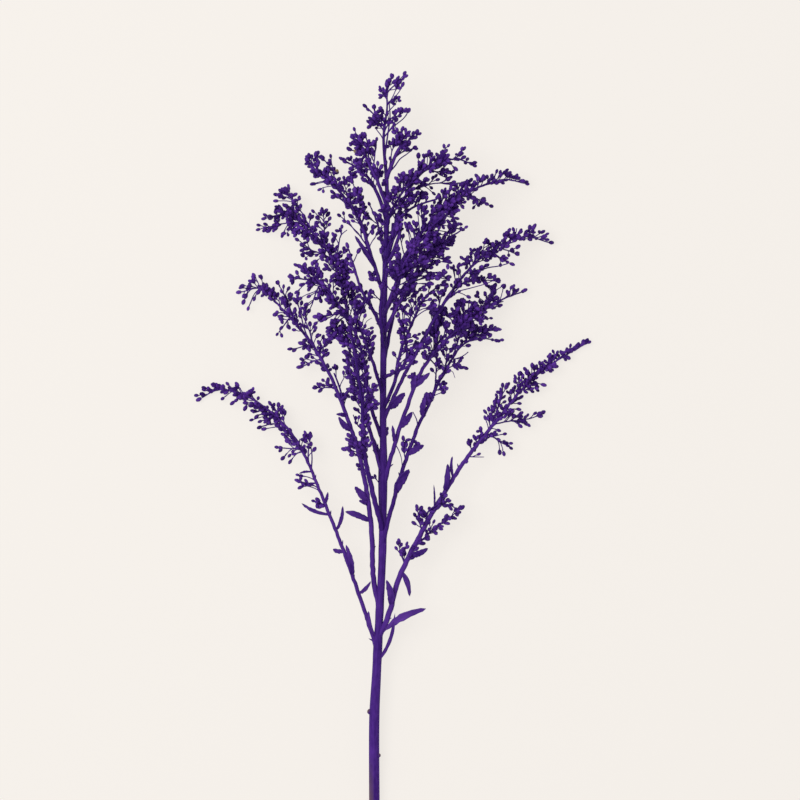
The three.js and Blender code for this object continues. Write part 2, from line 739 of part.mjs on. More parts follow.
// A low blunt stub on the side of the stem.
function nub([height, side, out, radius]) {
  const centre = stem.pointAt(stem.shareAt(0, height));
  const direction = new THREE.Vector3(side, 0.6, 0.3).normalize();
  const reach = stemRadiusAt(height) + out;
  const shoulder = centre.clone().addScaledVector(direction, reach * 0.8);
  const end = centre.clone().addScaledVector(direction, reach);
  const widest = ringAt(shoulder, direction, radius, NUB_SIDES);
  return skin([[centre], widest, ringAt(end, direction, radius / 2, NUB_SIDES)]);
}

const plant = new THREE.Group();
const stemPieces = [skin(stem.rings()), ...stemLeaves, ...NUBS.map(nub)];
topTwigs.forEach((twig, i) => {
  stemPieces.push(withEndHead(twig, twig.rings(), FORK_SIDES));
  stemPieces.push(...flowersAlong("main_stem", twig, TOP_TWIG_BARE, 0, 1000 + i));
});
plant.add(meshOf("main_stem", wasm.Manifold.union(stemPieces), STEM_COLOR));

for (const { name, spray, axis, forks, leaves, seed } of sprays) {
  const pieces = [withEndHead(axis, axisRings(axis), AXIS_SIDES), ...leaves];
  forks.forEach((fork, i) => {
    pieces.push(withEndHead(fork, fork.rings(), FORK_SIDES));
    pieces.push(...flowersAlong(name, fork, FORK_BARE, fork.longestTwig, seed + i + 1));
  });
  pieces.push(...flowersAlong(name, axis, spray.bare, spray.twig, seed));
  plant.add(meshOf(name, wasm.Manifold.union(pieces), SPRAY_COLOR));
}

// The part's origin is under the middle of the plant, on the surface that it lies on.
const MIDDLE = [5, 248];
plant.position.set(-MIDDLE[0], -MIDDLE[1], 0);

const goldenrod = new THREE.Group();
goldenrod.add(plant);

export default goldenrod;
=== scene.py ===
# %% [markdown]
# # A cut goldenrod stem
#
# Goldenrod is a tall wild flower. A florist's stem is one stalk with many arching side sprays, and each
# spray carries up to several hundred heads about 3 mm long. This one is dyed violet and its heads are
# still closed. The lesson builds it the way the plant grows: first the stalk, then each spray's axis, then
# forks and twigs, and last the buds and the small leaves. Rules place the buds, because nobody could
# place thousands of them by hand, and fixed seeds make the rules give the same plant on every run.

import math

import bpy
import numpy as np
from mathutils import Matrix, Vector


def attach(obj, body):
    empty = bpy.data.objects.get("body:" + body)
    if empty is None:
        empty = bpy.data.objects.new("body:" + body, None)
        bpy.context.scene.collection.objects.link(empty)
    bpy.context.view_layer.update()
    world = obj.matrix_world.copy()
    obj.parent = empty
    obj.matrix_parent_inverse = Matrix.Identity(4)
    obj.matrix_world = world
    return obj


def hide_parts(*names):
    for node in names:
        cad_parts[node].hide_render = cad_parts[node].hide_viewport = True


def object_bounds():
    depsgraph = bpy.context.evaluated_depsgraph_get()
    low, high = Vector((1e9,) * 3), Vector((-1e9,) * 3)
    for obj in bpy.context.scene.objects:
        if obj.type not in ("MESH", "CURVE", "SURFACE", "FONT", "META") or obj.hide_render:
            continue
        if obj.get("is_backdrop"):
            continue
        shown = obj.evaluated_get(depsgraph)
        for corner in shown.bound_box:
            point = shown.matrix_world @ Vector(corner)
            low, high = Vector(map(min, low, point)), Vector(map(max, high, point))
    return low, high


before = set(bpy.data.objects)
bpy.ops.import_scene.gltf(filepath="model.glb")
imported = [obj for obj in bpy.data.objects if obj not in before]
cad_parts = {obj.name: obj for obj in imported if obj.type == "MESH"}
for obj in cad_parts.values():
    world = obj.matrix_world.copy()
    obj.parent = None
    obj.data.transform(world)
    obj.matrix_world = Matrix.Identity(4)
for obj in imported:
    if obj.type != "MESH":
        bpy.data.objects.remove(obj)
cad_low, cad_high = [list(corner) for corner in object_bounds()]
print("frame:", len(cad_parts), "nodes, box", cad_low, cad_high)

# %% [markdown]
# ## The camera
#
# The plant lies on a table and the camera looks straight down on it. A long lens from 2 m away keeps the
# perspective as flat as in a product photograph. The stalk runs out of the lower edge of the picture.

# %% Camera
CAMERA_PLACE = (0.0046, 0.0526, 2.035)
CAMERA_LENS = 150
CAMERA_SENSOR = 36

camera_data = bpy.data.cameras.new("camera")
camera_data.lens = CAMERA_LENS
camera_data.sensor_width = CAMERA_SENSOR
camera = bpy.data.objects.new("camera", camera_data)
bpy.context.scene.collection.objects.link(camera)
camera.location = CAMERA_PLACE
bpy.context.scene.camera = camera
print("camera looks down from", round(CAMERA_PLACE[2], 3), "m")

# %% [markdown]
# ## The plan of the plant
#
# All the main lines are given as named rows, in millimetres, in the plant's own frame: x across, y along
# the stalk from its cut foot, z above the table. A spray is an arch from the stalk to its tip, a fork is a
# smaller arch that leaves a spray, and a leaf grows from either. They are short lists of given places,
# because no formula knows how one real stem has grown. The middle of the plant is moved to the
# frame's origin only when a mesh is made.

# %% The path of the stalk
MM = 0.001
MIDDLE = np.array([5.0, 248.0, 0.0])

# Foot to tip: x, y, z and radius.
STEM_PATH = [
    (-6, 0, 2.87, 3.1), (-6, 50, 6, 3.1), (-6, 108, 10, 3.05), (-4.7, 134, 12, 2.7),
    (-3.2, 165, 15, 2.35), (-1.2, 204, 19, 2.3), (-0.4, 250, 23.4, 2.1), (-0.6, 300, 28, 1.85),
    (0.2, 360, 32.5, 1.65), (1.4, 405, 35.5, 1.45), (1.7, 430, 37, 1.15), (-0.2, 458, 38.2, 0.8),
    (1.9, 476, 38.8, 0.55), (1.4, 487, 39, 0.45),
]

print("places on the stalk's path:", len(STEM_PATH))

# %% The paths of the sprays
# A spray: its root's height on the stalk, its bare share, its longest twig, and the places (x, y, z) that
# its axis passes on the way to its tip.
SPRAYS = {
    "spray_left_low": (148, 0.6, 8, [
        (-14, 179, 14.5), (-25, 210.5, 16.5), (-37.5, 242, 17), (-51.5, 273.5, 15.5),
        (-62.5, 287.5, 13.5), (-76.5, 299, 10.5), (-91.5, 306, 7), (-102.5, 306.5, 4.5), (-111, 302, 3),
    ]),
    "spray_right_low": (155, 0.52, 9, [
        (2, 168.5, 17.5), (9.5, 194, 19), (20.5, 216.5, 19), (34, 240.5, 18), (49.5, 264.5, 16),
        (68.5, 288.5, 12.5), (87.5, 311, 9), (105, 324.5, 5.5), (123, 335, 3),
    ]),
    "spray_left_mid": (173, 0.56, 10, [
        (-6.5, 194, 17), (-7.5, 218.5, 19), (-10, 242.5, 20.5), (-15.5, 268.5, 21), (-25, 297.5, 20),
        (-38, 325.5, 17), (-51.5, 344.5, 14), (-64.5, 358.5, 11), (-76, 368.5, 7), (-86.5, 366.5, 3.5),
    ]),
    "spray_right_mid": (211, 0.66, 11, [
        (4, 233.5, 26), (12, 261, 28), (20, 283.5, 28), (27.5, 299, 27), (33, 311.5, 25), (40, 324, 22),
        (47.5, 334, 18), (57, 338, 14), (67.5, 337, 10),
    ]),
    "spray_front_low": (221, 0.3, 11, [
        (-7, 246, 34), (-12, 270, 42), (-13, 297, 50), (-15.5, 318, 55), (-20, 341.5, 58),
    ]),
    "spray_right_fifth": (248, 0.5, 13, [
        (7, 276, 31), (13, 294, 33), (17.5, 306.5, 34), (24, 320.5, 34), (34, 333.5, 32), (47, 346, 27),
        (62, 357, 19), (73.5, 362.5, 11), (83, 366, 4.5),
    ]),
    "spray_left_inner": (252, 0.2, 13, [
        (-8.5, 282, 25), (-15.5, 315, 25), (-20.5, 345, 24.5), (-26.5, 372, 22), (-35, 392, 18),
        (-47.5, 405.5, 12), (-60, 413.5, 7), (-71.5, 411.5, 4),
    ]),
    "spray_back_low": (262, 0.5, 9, [
        (-10, 285, 14), (-16, 312, 9), (-18.5, 333.5, 5),
    ]),
    "spray_left_third": (276, 0.3, 13, [
        (-8.5, 299, 31), (-13, 329, 36), (-21.5, 349, 36), (-30.5, 362, 33), (-41, 371.5, 27),
        (-55, 374.5, 21),
    ]),
    "spray_right_fourth": (288, 0.5, 12, [
        (8, 307, 33), (18.5, 327.5, 37), (36.5, 359.5, 37), (51.5, 379.5, 33), (67.5, 392.5, 26),
        (85.5, 399.5, 16), (100, 396.5, 6.5),
    ]),
    "spray_right_inner": (294, 0.38, 9, [
        (6, 310, 36), (10, 330, 40), (17, 346.5, 43), (24, 361, 43), (34, 370, 41),
    ]),
    "spray_left_center": (305, 0.45, 9, [
        (-7, 324, 42), (-12.5, 339, 45), (-19, 356.5, 47),
    ]),
    "spray_right_near": (313, 0.4, 6, [
        (8.5, 318, 48), (16, 322, 52), (20.5, 331, 55),
    ]),
    "spray_back_mid": (324, 0.5, 9, [
        (5, 348.5, 22), (8.5, 369.5, 14), (14.5, 390, 7),
    ]),
    "spray_front_mid": (332, 0.35, 10, [
        (-2, 352, 46), (-0.5, 372, 56), (3.5, 394.5, 62),
    ]),
    "spray_left_short": (340, 0.35, 10, [
        (-6.5, 354.5, 40), (-13, 365.5, 44), (-21, 390.5, 48),
    ]),
    "spray_right_third": (342, 0.22, 15, [
        (9, 358.5, 44), (18.5, 376, 50), (31, 391, 50), (47.5, 403, 42),
    ]),
    "spray_front_high": (350, 0.25, 14, [
        (5.5, 365.5, 55), (14.5, 385, 66), (27.5, 401.5, 66),
    ]),
    "spray_right_second": (353, 0.2, 12, [
        (6, 364, 36.5), (9.5, 381, 38), (20.5, 398.5, 41), (37, 416, 38), (56.5, 428.5, 28), (73, 434, 16),
        (85.5, 432.5, 6.5),
    ]),
    "spray_left_high": (362, 0.35, 11, [
        (-8, 388, 36), (-15.5, 410.5, 36), (-25.5, 424.5, 32), (-35, 434.5, 24), (-45.5, 446.5, 14),
    ]),
    "spray_back_high": (366, 0.4, 9, [
        (0, 390.5, 26), (-3.5, 406, 16), (-8.5, 418.5, 8),
    ]),
    "spray_right_first": (383, 0.28, 11, [
        (6, 403, 41), (12.5, 421.5, 43), (21, 435, 41), (33, 443, 36), (44, 445.5, 29), (53, 443, 23),
    ]),
    "spray_front_top": (392, 0.25, 11, [
        (3.5, 410.5, 48), (11, 423.5, 58), (19.5, 434, 58),
    ]),
    "spray_left_top": (409, 0.25, 8, [
        (-3, 422, 37), (-8, 432, 37), (-15, 439, 34), (-24, 445, 28),
    ]),
    "spray_left_tip": (417, 0.3, 8, [
        (-2.5, 428, 43), (-7, 438, 46), (-12, 448, 49), (-17, 460, 48),
    ]),
    "spray_right_top": (434, 0.25, 7, [
        (6.5, 446, 39.5), (10, 452.5, 41), (20, 459.5, 35),
    ]),
}

print("sprays:", len(SPRAYS), "with", sum(len(row[3]) for row in SPRAYS.values()), "places")

# %% The forks
# A fork: where it leaves its axis (x, y), its tip (x, y, z) and, if they differ from the usual, how far it
# lifts on its way and its longest twig.
FORKS = {
    "spray_left_low": [
        (-45, 261, -45, 277.5, 13), (-48.5, 268.5, -63.5, 271.5, 10, 0),
    ],
    "spray_right_low": [
        (14.5, 205, 45.5, 234, 20, 0.05, 6), (12, 200, 8.5, 209.5, 21), (22, 220, 19.5, 229.5, 21),
        (27.5, 230, 37.5, 238.5, 20), (62.5, 281.5, 74, 308.5, 13), (63.5, 283, 95, 292, 6, -0.1),
        (60.5, 278.5, 73.5, 273.5, 9, 0),
    ],
    "spray_left_mid": [
        (-45, 335.5, -53, 359.5, 16), (-50.5, 344, -64, 370, 10), (-43.5, 332.5, -55.5, 331.5, 12, 0),
        (-37.5, 323.5, -50, 321, 12, 0), (-29, 307, -40, 308, 16, 0), (-56, 349.5, -64, 342, 8, 0),
    ],
    "spray_right_mid": [
        (29.5, 303, 32, 329, 26, 0), (39.5, 324, 50.5, 352.5, 18, 0.12, 6), (39, 323, 47.5, 320.5, 20, 0),
        (49.5, 335, 68, 343.5, 10),
    ],
    "spray_left_inner": [
        (-39.5, 398, -59, 426.5, 10), (-48.5, 406.5, -75, 405, 4.5, 0.05), (-34.5, 390, -37, 413.5, 24),
        (-27.5, 377, -25.5, 403, 28), (-30.5, 383, -48.5, 393.5, 12, 0),
    ],
    "spray_left_third": [
        (-32.5, 364, -49, 380, 26), (-37.5, 368.5, -44.5, 356, 24, 0),
        (-22.5, 350.5, -38, 350.5, 30, 0), (-26, 355.5, -35, 369, 37),
    ],
    "spray_left_high": [
        (-7, 386.5, -25.5, 410.5, 30), (-26.5, 426.5, -32, 444, 20),
        (-14, 406, -13.5, 424, 42, 0.12, 6),
    ],
    "spray_left_tip": [
        (-6.5, 438.5, -10.5, 457, 54), (-5, 433.5, -4.5, 454, 47),
    ],
    "spray_right_top": [
        (4, 444.5, 17.5, 451.5, 31), (7, 450.5, 11, 461, 45),
    ],
    "spray_right_first": [
        (11.5, 418.5, 49.5, 431, 23), (24, 438.5, 37.5, 434.5, 28, 0),
    ],
    "spray_right_second": [
        (45, 422, 63.5, 418.5, 16, 0.05),
    ],
    "spray_right_fourth": [
        (39.5, 364.5, 67.5, 372.5, 20), (29, 346.5, 36, 366.5, 37), (51.5, 380, 57, 390.5, 29),
        (61.5, 388, 75.5, 383.5, 19, 0), (66, 392, 79, 389.5, 17, 0),
    ],
    "spray_right_fifth": [
        (26.5, 323.5, 35, 338, 28), (42.5, 342, 52, 356.5, 25), (57.5, 353.5, 68.5, 357.5, 12, 0),
        (62, 356.5, 65.5, 368, 15),
    ],
}

print("forks:", sum(len(rows) for rows in FORKS.values()))

# %% The leaves and the twigs of the top
# A leaf: where it grows (x, y), its tip (x, y), its width, how far its tip is raised and, for some, the
# share of its length that is a narrow foot and its bend to the side.
LEAVES = {
    "main_stem": [
        (-1.5, 141.5, 6.5, 171.5, 2.2, 6, 0, 0.08), (-4.5, 155, -9.5, 173, 3, 6, 0.2, -0.12),
        (-0.5, 155, 25.3, 174.5, 4.6, 6, 0.22, -0.1),
    ],
    "spray_left_low": [
        (-18, 195, -23, 213, 3.6, 4), (-15, 183.5, -8, 191, 2.4, 6), (-25, 208.5, -31, 210, 2.8, -3),
        (-28.5, 222, -25, 236.5, 2.4, 4), (-33.5, 231, -50, 238, 2.4, -2),
        (-36.5, 237.5, -34, 245, 2, 4), (-41, 250, -49, 250, 1.5, -3),
        (-44, 257, -51.5, 256, 1.5, -3),
    ],
    "spray_left_mid": [
        (-8, 227, -23.5, 233, 3.6, -3), (-8, 238.5, -17.6, 248.4, 4.2, 5),
        (-8.2, 237.5, -15.2, 239.8, 3, 3), (-8.2, 240.5, -10.2, 247, 2.4, 4),
        (-19.5, 281.5, -27.5, 290.5, 3.6, 3), (-22.5, 291, -29, 292, 2.4, 3),
    ],
    "spray_right_low": [
        (4, 175.5, 1.5, 192, 4.4, 5), (12, 197, 15.5, 182, 3, 3), (30, 233.5, 30, 249.5, 1.2, 5),
        (35, 246, 38.5, 262, 3.8, 4), (41, 253.5, 41.3, 266.5, 2, -1), (16, 205.5, 26.5, 211, 4, 3),
    ],
    "spray_right_mid": [
        (8, 244, 15, 259, 5.4, 5), (5, 241, 7, 247, 2, 5), (16, 267, 24, 273.5, 4, 3),
        (27, 297.5, 25.5, 305.5, 4.4, 3), (22.5, 291, 25, 303, 3.4, 3),
    ],
    "spray_right_fifth": [
        (11, 283.5, 17, 293.5, 4.2, 5), (7, 274, 5, 285.5, 2.4, 5), (18, 308, 27.5, 317, 3, 4),
        (17, 306.5, 17.5, 315.5, 4, 2),
    ],
    "spray_right_fourth": [
        (3, 295, 12.5, 305, 5.4, 6),
    ],
    "spray_left_high": [
        (-5, 380, -17.5, 399, 2.8, 5),
    ],
}

# The short twigs of the very top, given as forks of the stalk.
TOP_TWIGS = [
    (1.5, 482.5, 4.5, 492, 42), (1.5, 481, 9.5, 491.5, 39), (1, 479.5, -1, 484.5, 38),
    (2, 476.5, 7.5, 479.5, 42), (0.5, 463, -8, 473.5, 36), (0.5, 464, -2.5, 469, 45),
    (0.5, 461, 11.5, 472.5, 40), (0, 459.5, -5.5, 467.5, 34), (1, 465.5, 8, 470, 46),
    (1.5, 485.5, 2, 489, 40),
]

print("leaves:", sum(len(rows) for rows in LEAVES.values()), "top twigs:", len(TOP_TWIGS))

# %% [markdown]
# ## Chance, directions and lines
#
# A plant looks natural when no two parts are quite alike. Each draw of chance takes a whole number, its
# seed, and always gives the same share for it, so a bud keeps its place when others are added. The
# numbers that only shift or scale a seed pick another draw and mean nothing else. A line is a row of
# close points that can be asked for the place and the direction at any share of its length.

# %% Seeded chance
WORD = 0xFFFFFFFF
SEED_STEP = 0x6D2B79F5


def chance(seed):
    """A number from 0 to 1 that depends on the seed alone."""
    t = (int(seed) + SEED_STEP) & WORD
    t = ((t ^ (t >> 15)) * (t | 1)) & WORD
    t ^= (t + (((t ^ (t >> 7)) * (t | 61)) & WORD)) & WORD
    return ((t ^ (t >> 14)) & WORD) / (WORD + 1)


def between(low, high, seed):
    return low + (high - low) * chance(seed)


print("chance:", [round(chance(n), 3) for n in range(4)])

# %% Directions
# Up the plant, and straight above the table.
UP = np.array([0.0, 1.0, 0.0])
ABOVE = np.array([0.0, 0.0, 1.0])
TINY = 1e-9
STEEP = 0.9


def unit(vector):
    return vector / max(np.linalg.norm(vector), TINY)


def square_to(tangent, side):
    """Two directions square to a tangent, the first as near to the given side as it can be."""
    first = unit(side - tangent * np.dot(side, tangent))
    return first, np.cross(tangent, first)


def square_pair(direction):
    """Two directions square to another, the first as near to straight above as it can be."""
    return square_to(direction, ABOVE if abs(direction[2]) < STEEP else UP)


print("square to the stalk:", *square_pair(UP))

# %% Lines that can be asked for a place and a direction
LINE_POINTS = 201
TANGENT_STEP = 0.005


class Line:
    """A line through close points, with its radius at both ends, how late it thins and its longest twig."""

    def __init__(self, points, radii):
        self.points = np.asarray(points, float)
        steps = np.linalg.norm(np.diff(self.points, axis=0), axis=1)
        self.reach = np.concatenate([[0.0], np.cumsum(steps)])
        self.length = self.reach[-1]
        self.radii = radii
        self.thins = 1
        self.longest = 0

    def at(self, share):
        goal = np.clip(share, 0, 1) * self.length
        return np.array([np.interp(goal, self.reach, self.points[:, axis]) for axis in range(3)])

    def along(self, shares):
        goal = np.clip(shares, 0, 1) * self.length
        return np.stack([np.interp(goal, self.reach, self.points[:, axis]) for axis in range(3)], 1)

    def tangent(self, share):
        return unit(self.at(min(share + TANGENT_STEP, 1)) - self.at(max(share - TANGENT_STEP, 0)))

    def radius(self, share):
        return self.radii[0] + (self.radii[1] - self.radii[0]) * share**self.thins

    def share_at(self, x, y):
        shares = np.linspace(0, 1, LINE_POINTS)
        places = self.along(shares)
        return shares[np.argmin(np.hypot(places[:, 0] - x, places[:, 1] - y))]


def arch(start, first, second, end, radii):
    """A smooth arch that leaves start towards first and comes to end from second."""
    t = np.linspace(0, 1, LINE_POINTS)[:, None]
    s = 1 - t
    return Line(s**3 * start + 3 * s * s * t * first + 3 * s * t * t * second + t**3 * end, radii)


def outward(line, share, angle, forward):
    """A direction that leaves the line forwards and at an angle from its upper side."""
    tangent = line.tangent(share)
    upper, across = square_to(tangent, UP)
    return unit(tangent * forward + upper * math.cos(angle) + across * math.sin(angle))


print("a line is asked for its nearest place at", LINE_POINTS, "points")

# %% [markdown]
# ## The stalk, the axes and the forks
#
# The places of the plan become smooth lines. The stalk and the sprays go through every one of their places,
# since each was read off the real stem. A fork is so short that an arch with two ends is enough: it
# leaves along its axis and then lifts. An axis stays thick for a while and thins late, as real ones do.

# %% The stalk as a line
CURVE_STEPS = 40
stem_rows = np.array(STEM_PATH, float)


def stem_radius(height):
    return float(np.interp(height, stem_rows[:, 1], stem_rows[:, 3]))


def slope(before, here, after, gap, next_gap):
    """The slope of a smooth line at a point whose neighbours stand at uneven steps."""
    return (here - before) / gap - (after - before) / (gap + next_gap) + (after - here) / next_gap


def smooth_through(rows):
    """A smooth line through points. Square roots of the gaps keep it from swinging out at uneven steps."""
    ends = [2 * rows[0] - rows[1], *rows, 2 * rows[-1] - rows[-2]]
    places = []
    for before, here, after, beyond in zip(ends, ends[1:], ends[2:], ends[3:]):
        pairs = ((before, here), (here, after), (after, beyond))
        gap, own_gap, next_gap = [np.linalg.norm(b - a) ** 0.5 for a, b in pairs]
        leave = slope(before, here, after, gap, own_gap) * own_gap
        come = slope(here, after, beyond, own_gap, next_gap) * own_gap
        t = np.linspace(0, 1, CURVE_STEPS, endpoint=False)[:, None]
        bend = 2 * here - 2 * after + leave + come
        swing = -3 * here + 3 * after - 2 * leave - come
        places.append(here + leave * t + swing * t**2 + bend * t**3)
    return np.concatenate([*places, [rows[-1]]])


stem = Line(smooth_through(stem_rows[:, :3]), (0, 0))
print("stalk length", round(stem.length), "mm")

# %% Axes of the sprays and their forks
AXIS_RADII = (1.15, 0.4)
AXIS_THINS = 1.7
THICK_ROOTS = {
    "spray_left_low": 1.25, "spray_right_low": 1.7, "spray_left_mid": 1.6, "spray_right_mid": 1.35,
    "spray_front_low": 1.6, "spray_right_fifth": 1.35,
}
FORK_RADII = (0.5, 0.32)
FORK_LEAVE = 0.3
FORK_LIFT = 0.12
FORK_LIFT_AT = 0.62


def spray_axis(name):
    root, _, _, places = SPRAYS[name]
    start = stem.at(stem.share_at(0, root))
    radii = (THICK_ROOTS.get(name, AXIS_RADII[0]), AXIS_RADII[1])
    axis = Line(smooth_through([start, *np.array(places, float)]), radii)
    axis.thins = AXIS_THINS
    return axis


def fork_of(axis, row):
    x, y, tip_x, tip_y, tip_z = row[:5]
    lift = row[5] if len(row) > 5 else FORK_LIFT
    share = axis.share_at(x, y)
    start = axis.at(share)
    end = np.array([tip_x, tip_y, tip_z], float)
    way = np.linalg.norm(end - start)
    first = start + axis.tangent(share) * way * FORK_LEAVE
    second = start + (end - start) * FORK_LIFT_AT + UP * way * lift
    fork = arch(start, first, second, end, FORK_RADII)
    fork.longest = row[6] if len(row) > 6 else 0
    return fork


axes = {name: spray_axis(name) for name in SPRAYS}
forks = {name: [fork_of(axes[name], row) for row in FORKS.get(name, [])] for name in SPRAYS}
top_twigs = [fork_of(stem, row) for row in TOP_TWIGS]
print("axes:", round(sum(axis.length for axis in axes.values())), "mm in all")

# %% [markdown]
# ## What the camera sees
#
# Later steps follow things that are read off the photograph by their pixels, across and down. A pixel is a
# straight line from the camera, and a height above the table picks one place on it. The windows are gaps
# where the table shows through the plant: ovals that stay free of heads, which a rule alone would close.

# %% Pixels and places
PICTURE = 800
# The rows of the photograph were read this many pixels too high.
READ_HIGH = 1
FOCUS = CAMERA_LENS / CAMERA_SENSOR * PICTURE
EYE = MIDDLE + np.array(CAMERA_PLACE) / MM


def seen_place(across, down, height):
    """The place of the plant at a height above the table that the camera sees at a pixel."""
    step = (EYE[2] - height) / FOCUS
    x = EYE[0] + (across - PICTURE / 2) * step
    y = EYE[1] - (down + READ_HIGH - PICTURE / 2) * step
    return np.array([x, y, height])


def seen_at(places):
    """The pixels, across and down, at which the camera sees some places of the plant."""
    step = (EYE[2] - places[..., 2]) / FOCUS
    across = PICTURE / 2 + (places[..., 0] - EYE[0]) / step
    down = PICTURE / 2 - (places[..., 1] - EYE[1]) / step - READ_HIGH
    return np.stack([across, down], -1)


print("on the table a pixel is", round(EYE[2] / FOCUS, 3), "mm wide")

# %% Windows
# An oval: its middle, across and down, and its half width and half height, all in pixels.
WINDOWS = [
    (371, 196, 7, 14), (350, 228, 8, 6), (352, 245, 8, 6), (356, 262, 5, 11), (403, 250, 3, 11),
    (377.5, 258, 4, 15), (376, 302, 4, 14), (388.5, 287, 4, 17), (311, 245, 9, 4), (320, 307, 9, 6),
    (291, 341, 8, 5), (351, 411, 5, 14), (335, 160, 4, 8), (306, 207, 4.5, 7), (267, 210, 7, 2.5),
    (518, 225, 6, 5), (478, 242, 7, 4), (481, 192, 7, 5), (511, 257, 5, 3), (506, 301, 5, 3),
    (497, 322, 6, 3), (498, 334, 5, 3), (467, 350, 9, 7), (433, 346, 3, 5), (418, 320, 7, 9),
    (483, 450, 6, 3.5), (314, 433, 3, 4), (462, 176, 9, 3.5), (440, 184, 10, 4), (371, 134, 5, 4),
    (355, 127, 5, 3.5), (397, 126, 3.5, 3), (380, 152, 3, 9), (400, 115, 2.5, 3), (391.5, 112, 1.5, 5),
    (366, 156, 3, 3), (416, 160, 4, 6), (420, 129, 3, 2), (388.5, 290, 2.5, 16), (391, 246, 6, 11),
    (393, 93, 2, 3.5), (402, 96, 3, 4), (404, 122, 4, 2), (380, 134, 2, 4), (395, 154, 2, 5),
]


def in_window(place):
    across, down = seen_at(place)
    return any(((across - x) / wide) ** 2 + ((down - y) / high) ** 2 < 1 for x, y, wide, high in WINDOWS)


print("windows:", len(WINDOWS))

# %% [markdown]
# ## Room for every piece
#
# On the plant no bud grows through another, because each pushes its neighbours aside. Here every placed
# piece leaves a few balls in a grid of cells, and a new piece is tested against the balls near it. If it
# finds no room it turns and shrinks a little, and after a few tries it is left out. A coarse head takes as
# much room as a head of the plain solids, and a fine one a little less than a true bud, because buds
# press against each other.

# %% Balls in a grid
CELL = 6
LARGEST_BALL = 3.1
SPRAY_GAP = 0.45
cells = {}


def cell_of(place):
    return tuple(int(value // CELL) for value in place)


def fill(owner, balls):
    for centre, radius, head in balls:
        cells.setdefault(cell_of(centre), []).append((centre, radius, head, owner))


def near_balls(centre, reach):
    """The balls in all the cells within reach of a place."""
    low, high = cell_of(centre - reach), cell_of(centre + reach)
    for x in range(low[0], high[0] + 1):
        for y in range(low[1], high[1] + 1):
            for z in range(low[2], high[2] + 1):
                yield from cells.get((x, y, z), ())


def has_room(owner, balls):
    """True where no ball reaches the table or another spray, and no head a head of its own spray."""
    for centre, radius, head in balls:
        if centre[2] < radius:
            return False
        reach = radius + LARGEST_BALL + SPRAY_GAP
        for other, other_radius, other_head, other_owner in near_balls(centre, reach):
            own = other_owner == owner
            if own and not (head and other_head):
                continue
            least = radius + other_radius + (0 if own else SPRAY_GAP)
            dx, dy, dz = other[0] - centre[0], other[1] - centre[1], other[2] - centre[2]
            if dx * dx + dy * dy + dz * dz < least * least:
                return False
    return True


def settle(owner, balls):
    """Takes the room of the balls if it is free, and tells whether it was."""
    free = has_room(owner, balls)
    if free:
        fill(owner, balls)
    return free


print("the cells are", CELL, "mm wide, and sprays stay", SPRAY_GAP, "mm apart")

# %% Heads, lines and the room that they take
BALL_STEP = 0.8
FINE_BALL_STEP = 2
HEAD_LENGTH = 4.3
HEAD_MIDDLE = HEAD_LENGTH * 0.6
FINE_HEAD = 0.84
STALK_BALL = 0.6
STALK_BALLS_AT = (0.35, 0.7)
END_STALK = 0.6
STEM_BALLS = 600


class Head:
    """A bud on its stalk: where it is rooted, its direction, its stalk's length and its seed."""

    def __init__(self, root, direction, stalk, seed):
        self.root, self.direction, self.stalk, self.seed = root, direction, stalk, seed
        self.undyed = 0.0

    def middle(self):
        return self.root + self.direction * (self.stalk + HEAD_MIDDLE)

    def balls(self, fine):
        if fine:
            return [(self.middle(), FINE_HEAD, True)]
        half = HEAD_LENGTH / 2
        places = [self.root + self.direction * self.stalk * share for share in STALK_BALLS_AT]
        head = (self.root + self.direction * (self.stalk + half), half, True)
        return [(place, STALK_BALL, False) for place in places] + [head]


def line_balls(line, step=BALL_STEP):
    count = max(2, math.ceil(line.length / step))
    return [(line.at(i / count), line.radius(i / count), False) for i in range(count + 1)]


def fill_line(owner, line):
    """Takes the room of a line and of the coarse head at its end."""
    end = Head(line.at(1), line.tangent(1), END_STALK, 0)
    fill(owner, line_balls(line) + end.balls(fine=False))


stem_places = stem.along(np.linspace(0, 1, STEM_BALLS))
fill("main_stem", [(place, stem_radius(place[1]), False) for place in stem_places])
for twig in top_twigs:
    fill_line("main_stem", twig)
for name in SPRAYS:
    for line in (axes[name], *forks[name]):
        fill_line(name, line)
print("room:", sum(len(balls) for balls in cells.values()), "balls in", len(cells), "cells")

# %% [markdown]
# ## Leaves, twigs and heads by rule
#
# Heads stand at even steps along the flowering part of an axis. In the widest part of a spray each step
# bears a twig with heads of its own, and near the tip it bears a single head. The twigs turn by the
# golden angle from step to step, as leaves do, but swing back to the upper side, because goldenrod heads
# sit in rows along the top of their arch. The plain solids bear only some of these twigs. They are placed
# first, so the finer plant has the same main form, and the steps between them are filled later.

# %% Leaf lines
# How far the middle of a leaf stands above its ends: a share of its length, and more in mm.
LEAF_ARCH = (0.12, 1)
LEAF_LOWEST = 2
LEAF_POINTS = 41
# The radii of the room that it takes, as shares of its width.
LEAF_ROOM = (0.45, 0.3)


def leaf_line(axis, row):
    x, y, tip_x, tip_y, width, rise = row[:6]
    root = axis.at(axis.share_at(x, y))
    tip = np.array([tip_x, tip_y, max(root[2] + rise, LEAF_LOWEST)])
    middle = (root + tip) / 2 + ABOVE * (LEAF_ARCH[0] * np.linalg.norm(tip - root) + LEAF_ARCH[1])
    t = np.linspace(0, 1, LEAF_POINTS)[:, None]
    points = (1 - t) ** 2 * root + 2 * t * (1 - t) * middle + t * t * tip
    return Line(points, (width * LEAF_ROOM[0], width * LEAF_ROOM[1]))


